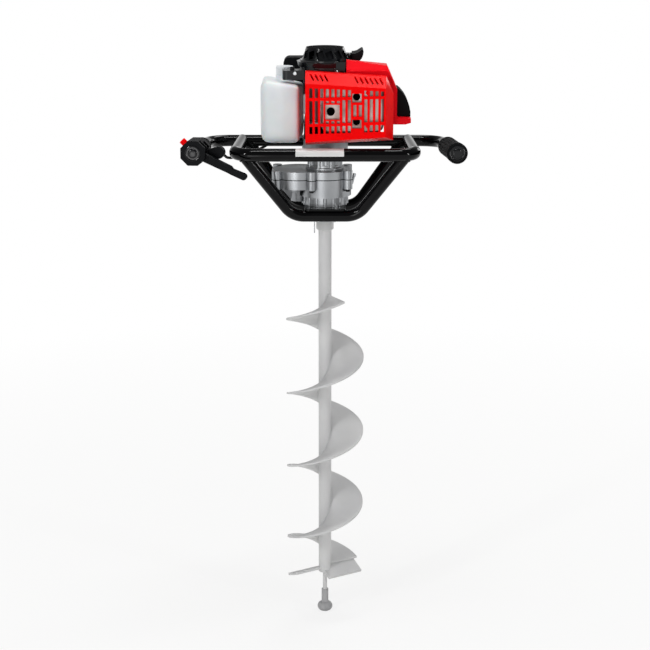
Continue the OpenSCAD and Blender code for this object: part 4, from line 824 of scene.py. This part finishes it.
def screw_mesh(head_r, head_h, shank_r, shank, socket_r, sides=48):
    """Socket head screw in metres from sizes in millimetres, seat at the origin, head up."""
    def ring(z, radius, knurl=0.0, hexagon=False):
        points = []
        for i in range(sides):
            a = 2 * math.pi * i / sides
            r = radius - knurl * (i % 2)
            if hexagon:
                r = radius / math.cos(a % (math.pi / 3) - math.pi / 6)
            points.append((r * math.cos(a) * MM, r * math.sin(a) * MM, z * MM))
        return points

    rings = [ring(-shank, shank_r), ring(0, shank_r), ring(0, head_r - UNDERCUT),
             ring(UNDERCUT, head_r, KNURL), ring(head_h - TOP_HEIGHT, head_r, KNURL),
             ring(head_h, head_r - TOP_WIDTH), ring(head_h, socket_r, hexagon=True),
             ring(head_h * SOCKET_FLOOR, socket_r, hexagon=True)]
    faces = [tuple(reversed(range(sides))),
             tuple(range((len(rings) - 1) * sides, len(rings) * sides))]
    for k in range(len(rings) - 1):
        for i in range(sides):
            j = (i + 1) % sides
            faces.append((k * sides + i, k * sides + j, (k + 1) * sides + j, (k + 1) * sides + i))
    mesh = bpy.data.meshes.new("socket_screw")
    mesh.from_pydata([p for r in rings for p in r], [], faces)
    return mesh


long_screw = screw_mesh(head_r=4.25, head_h=5.0, shank_r=2.5, shank=9.0, socket_r=2.05)
short_screw = screw_mesh(head_r=3.4, head_h=2.6, shank_r=1.8, shank=0.2, socket_r=1.5)
print("one screw:", len(long_screw.polygons), "faces")

# %% [markdown]
# ## Setting screws
# The same screw comes many times, facing different ways. Copies set by hand would be many objects,
# so a tree sets one on every point, turned as the point's own "turn" attribute says, and all the
# screws of a kind stay one piece.

# %% Screw tree
screw_tree, given = geometry_tree("set_screws", {"Screw": "Object", "Finish": "Material"})
spots = add_node(screw_tree, "GeometryNodeMeshToPoints", {"Mesh": given["Geometry"]}).outputs[0]
one = add_node(screw_tree, "GeometryNodeObjectInfo",
               {"Object": given["Screw"]}).outputs["Geometry"]
way = add_node(screw_tree, "GeometryNodeInputNamedAttribute", {"Name": "turn"},
               data_type="FLOAT_VECTOR").outputs["Attribute"]
facing = add_node(screw_tree, "FunctionNodeEulerToRotation", {"Euler": way}).outputs[0]
placed = add_node(screw_tree, "GeometryNodeInstanceOnPoints",
                  {"Points": spots, "Instance": one, "Rotation": facing}).outputs[0]
close_tree(screw_tree, placed, given["Finish"])


def set_screws(screw, spots, finish):
    """Copies of a screw on spots, each (place, turn)."""
    points = polyline(*[[place] for place, turn in spots])
    turns = points.attributes.new("turn", "FLOAT_VECTOR", "POINT")
    for i, (place, turn) in enumerate(spots):
        turns.data[i].vector = turn
    pattern = put("screw_pattern", screw)
    made = run_tree(screw_tree, points, {"Screw": pattern, "Finish": finishes[finish]})
    bpy.data.objects.remove(pattern)
    return made


# %% [markdown]
# ## Screws in place
# Long black screws hold the gear case and its plate from below and the starter from above; two
# short zinc ones sit in the starter's front. The bosses of the case lie round its two lobes, so
# their places are worked out from the lobes' sizes instead of being measured one by one.

# %% Screws in place
LOBE_R, CENTRE = 49.175, 50.0
BOSS_R, WAIST = LOBE_R + 5, 6.5
RIGHT_TURN, LEFT_TURN = math.radians(38), math.radians(42)
CASE_SEAT, PLATE_SEAT, PLATE_HALF = 872.0, 835.0, 22
UP, DOWN, TO_FRONT = (0, 0, 0), (math.pi, 0, 0), (math.pi / 2, 0, 0)

case_spots = [(x, s * y, CASE_SEAT) for s in (-1, 1) for x, y in (
    (BOSS_R * math.cos(RIGHT_TURN), BOSS_R * math.sin(RIGHT_TURN)),
    (-CENTRE - BOSS_R * math.cos(LEFT_TURN), BOSS_R * math.sin(LEFT_TURN)),
    (-CENTRE / 2, math.sqrt(LOBE_R ** 2 - CENTRE ** 2 / 4) + WAIST))]
plate_spots = [(x, y, PLATE_SEAT) for x in (-PLATE_HALF, PLATE_HALF)
               for y in (-PLATE_HALF, PLATE_HALF)]
starter_spots = [(-60, -24, 1092.0), (30, -37, 1108.0), (30, 37, 1092.0)]
front_spots = [(-55, -40.0, 1087.0), (21.3, -45.0, 1089.0)]

black_screws = set_screws(
    long_screw,
    [(p, DOWN) for p in case_spots + plate_spots] + [(p, UP) for p in starter_spots],
    "black_steel")
add_piece("socket_screws_knurled", black_screws, "frame", ["socket_screws"])
zinc_screws = set_screws(short_screw, [(p, TO_FRONT) for p in front_spots], "zinc")
add_piece("starter_front_screws", zinc_screws, "frame")

# %% [markdown]
# ## Turned pieces
# A few small pieces are round about one axis. A lathe makes such a shape from half a section, and
# Blender's spin does the same to a line of points. A bore, a screen or a plug differs only in that
# line, so one function serves them all.

# %% Lathe helpers
SEAM = 1e-6


def turned(section, place, axis, sides=48, start=0.0, sweep=360.0):
    """Mesh spun from (radius, height) points about an axis through a place, in millimetres."""
    shape = bmesh.new()
    line = [shape.verts.new((radius * MM, 0, height * MM)) for radius, height in section]
    edges = [shape.edges.new(pair) for pair in zip(line, line[1:])]
    if section[0][0] > 0:
        edges.append(shape.edges.new((line[-1], line[0])))
    bmesh.ops.rotate(shape, verts=line, matrix=Matrix.Rotation(math.radians(start), 3, "Z"))
    bmesh.ops.spin(shape, geom=line + edges, axis=(0, 0, 1), angle=math.radians(sweep),
                   steps=sides)
    bmesh.ops.remove_doubles(shape, verts=shape.verts, dist=SEAM)
    bmesh.ops.holes_fill(shape, edges=[edge for edge in shape.edges if edge.is_boundary])
    bmesh.ops.recalc_face_normals(shape, faces=shape.faces)
    shape.transform(Matrix.Translation(Vector(place) * MM)
                    @ Vector(axis).to_track_quat("Z", "Y").to_matrix().to_4x4())
    return mesh_of(shape, "turned")


def joined(meshes, finish):
    """One mesh out of several, with one finish."""
    shape = bmesh.new()
    for mesh in meshes:
        shape.from_mesh(mesh)
    return mesh_of(shape, "joined", finish)


print("helpers: turned, joined")

# %% [markdown]
# ## Painted shade in the muffler's bores
# The three bores that show through the guard lie deep in shade. A dark patch painted inside the
# muffler would need a mask, so each bore gets a thin near-black cup of painted shade, closed at
# the back.

# %% Painted shade cups in the bores
MUFFLER_FRONT = -88.0
CUP_GAP, CUP_WALL, CUP_LIP, CUP_FLOOR, CUP_BACK = 0.1, 0.4, 0.5, 11, 12
BORES = [((10.5, 1024.0), 7.5), ((57.0, 1050.5), 6.5), ((57.0, 1005.5), 6.5)]


def cup_section(bore_r):
    """Half section of a cup in a bore: back, outer wall, lip, inner wall and floor."""
    outer, inner = bore_r - CUP_GAP, bore_r - CUP_GAP - CUP_WALL
    return [(0, CUP_BACK), (outer, CUP_BACK), (outer, CUP_LIP), (inner, CUP_LIP),
            (inner, CUP_FLOOR), (0, CUP_FLOOR)]


cups = [turned(cup_section(r), (x, MUFFLER_FRONT, z), (0, 1, 0)) for (x, z), r in BORES]
# each cup is painted shade: it makes the inside of its bore read near black
add_piece("muffler_bore_soot", joined(cups, finishes["soot"]), "frame")

# %% [markdown]
# ## Screen behind the starter's slots
# A starter draws its cooling air through slots, and a fine screen behind them keeps grass out. At
# this distance a screen reads as a dark cone, so one thin turned wall stands for it, open where
# the rope passes.

# %% Starter screen
SCREEN = [(39.0, 1109.4), (31.4, 1127.4), (30.6, 1127.4), (38.2, 1109.4)]
screen = turned(SCREEN, (0, 0, 0), (0, 0, 1), sides=80, start=54.0, sweep=340.0)
add_piece("starter_screen", joined([screen], finishes["black_plastic"]), "frame")

# %% [markdown]
# ## Plugs in the bar ends
# Each end of the handlebar is closed by a pressed-in plug with a raised ring. It is turned on the
# line of the bar's end, which runs slightly outwards and up.

# %% Bar-end plugs
PLUG = [(0, 2.2), (6.0, 2.2), (7.6, 1.8), (8.6, 0.9), (8.9, 0.2), (11.2, 0.2), (11.9, 0.9),
        (13.0, 1.2), (14.1, 0.8), (14.5, -0.4), (0, -0.4)]
BAR_ENDS = [((238.33, -121.98, 953.18), (0.0834, -0.9956, 0.0441)),
            ((-238.42, -122.98, 953.22), (-0.0834, -0.9956, 0.0441))]
plugs = [turned(PLUG, place, axis) for place, axis in BAR_ENDS]
add_piece("bar_end_plugs", joined(plugs, finishes["polished_black"]), "frame")

# %% [markdown]
# ## Starter rope
# The pull handle sits tight on the starter, with its rope wound up inside. The tube tree draws
# the short length of rope that shows between the starter and the handle, as it lies at rest.

# %% Starter rope
ROPE_X, ROPE_LEN, ROPE_Y, ROPE_Z, ROPE_R = 18, 36, 27.0, 1112.0, 1.6
rope_line = [(ROPE_X + x, ROPE_Y, ROPE_Z) for x in range(ROPE_LEN + 1)]
rope = run_tree(tube_tree, polyline(rope_line), {
    "Radius": ROPE_R * MM, "Bend": 0.0, "Sides": 14, "Finish": finishes["black_plastic"]})
rope.shade_smooth()
rope_piece = put("starter_rope", rope)
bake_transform(rope_piece)
print(f"starter_rope: {ROPE_LEN} mm at rest")

# %% [markdown]
# ## Blank label
# A strip of silver polyester film is stuck round the upper front of the front bar. A flat patch
# would stand off the round tube, so the strip follows it: a grid of cells on a cylinder just over
# the paint, given a thickness of a tenth of a millimetre or so.

# %% Blank label
LABEL_X, LABEL_TURN = (-53.6, 34.5), (-4, 92)
CELLS_ALONG, CELLS_ROUND = 12, 20
PAINT_GAP, FILM_T = 0.05, 0.12 * MM
LABEL_R = BARS["front_top_bar"][1] + PAINT_GAP
film = skin("polyester_film_silver", "#DADBDA", "#CFD0CF",
            rough=(0.26, 0.36), grain=1.0, depth=0.01)
grid = [(LABEL_X[0] + (LABEL_X[1] - LABEL_X[0]) * i / CELLS_ALONG,
         math.radians(LABEL_TURN[0] + (LABEL_TURN[1] - LABEL_TURN[0]) * j / CELLS_ROUND))
        for i in range(CELLS_ALONG + 1) for j in range(CELLS_ROUND + 1)]
row = CELLS_ROUND + 1
label = bpy.data.meshes.new("label")
label.from_pydata(
    [Vector((x, FRONT_Y - LABEL_R * math.cos(a), BAR_Z + LABEL_R * math.sin(a))) * MM
     for x, a in grid], [],
    [(k, k + row, k + row + 1, k + 1)
     for i in range(CELLS_ALONG) for k in range(i * row, i * row + CELLS_ROUND)])
label.materials.append(film)
label = applied(label, "SOLIDIFY", {"thickness": FILM_T, "offset": 1.0})
add_piece("blank_label_film", label, "frame")
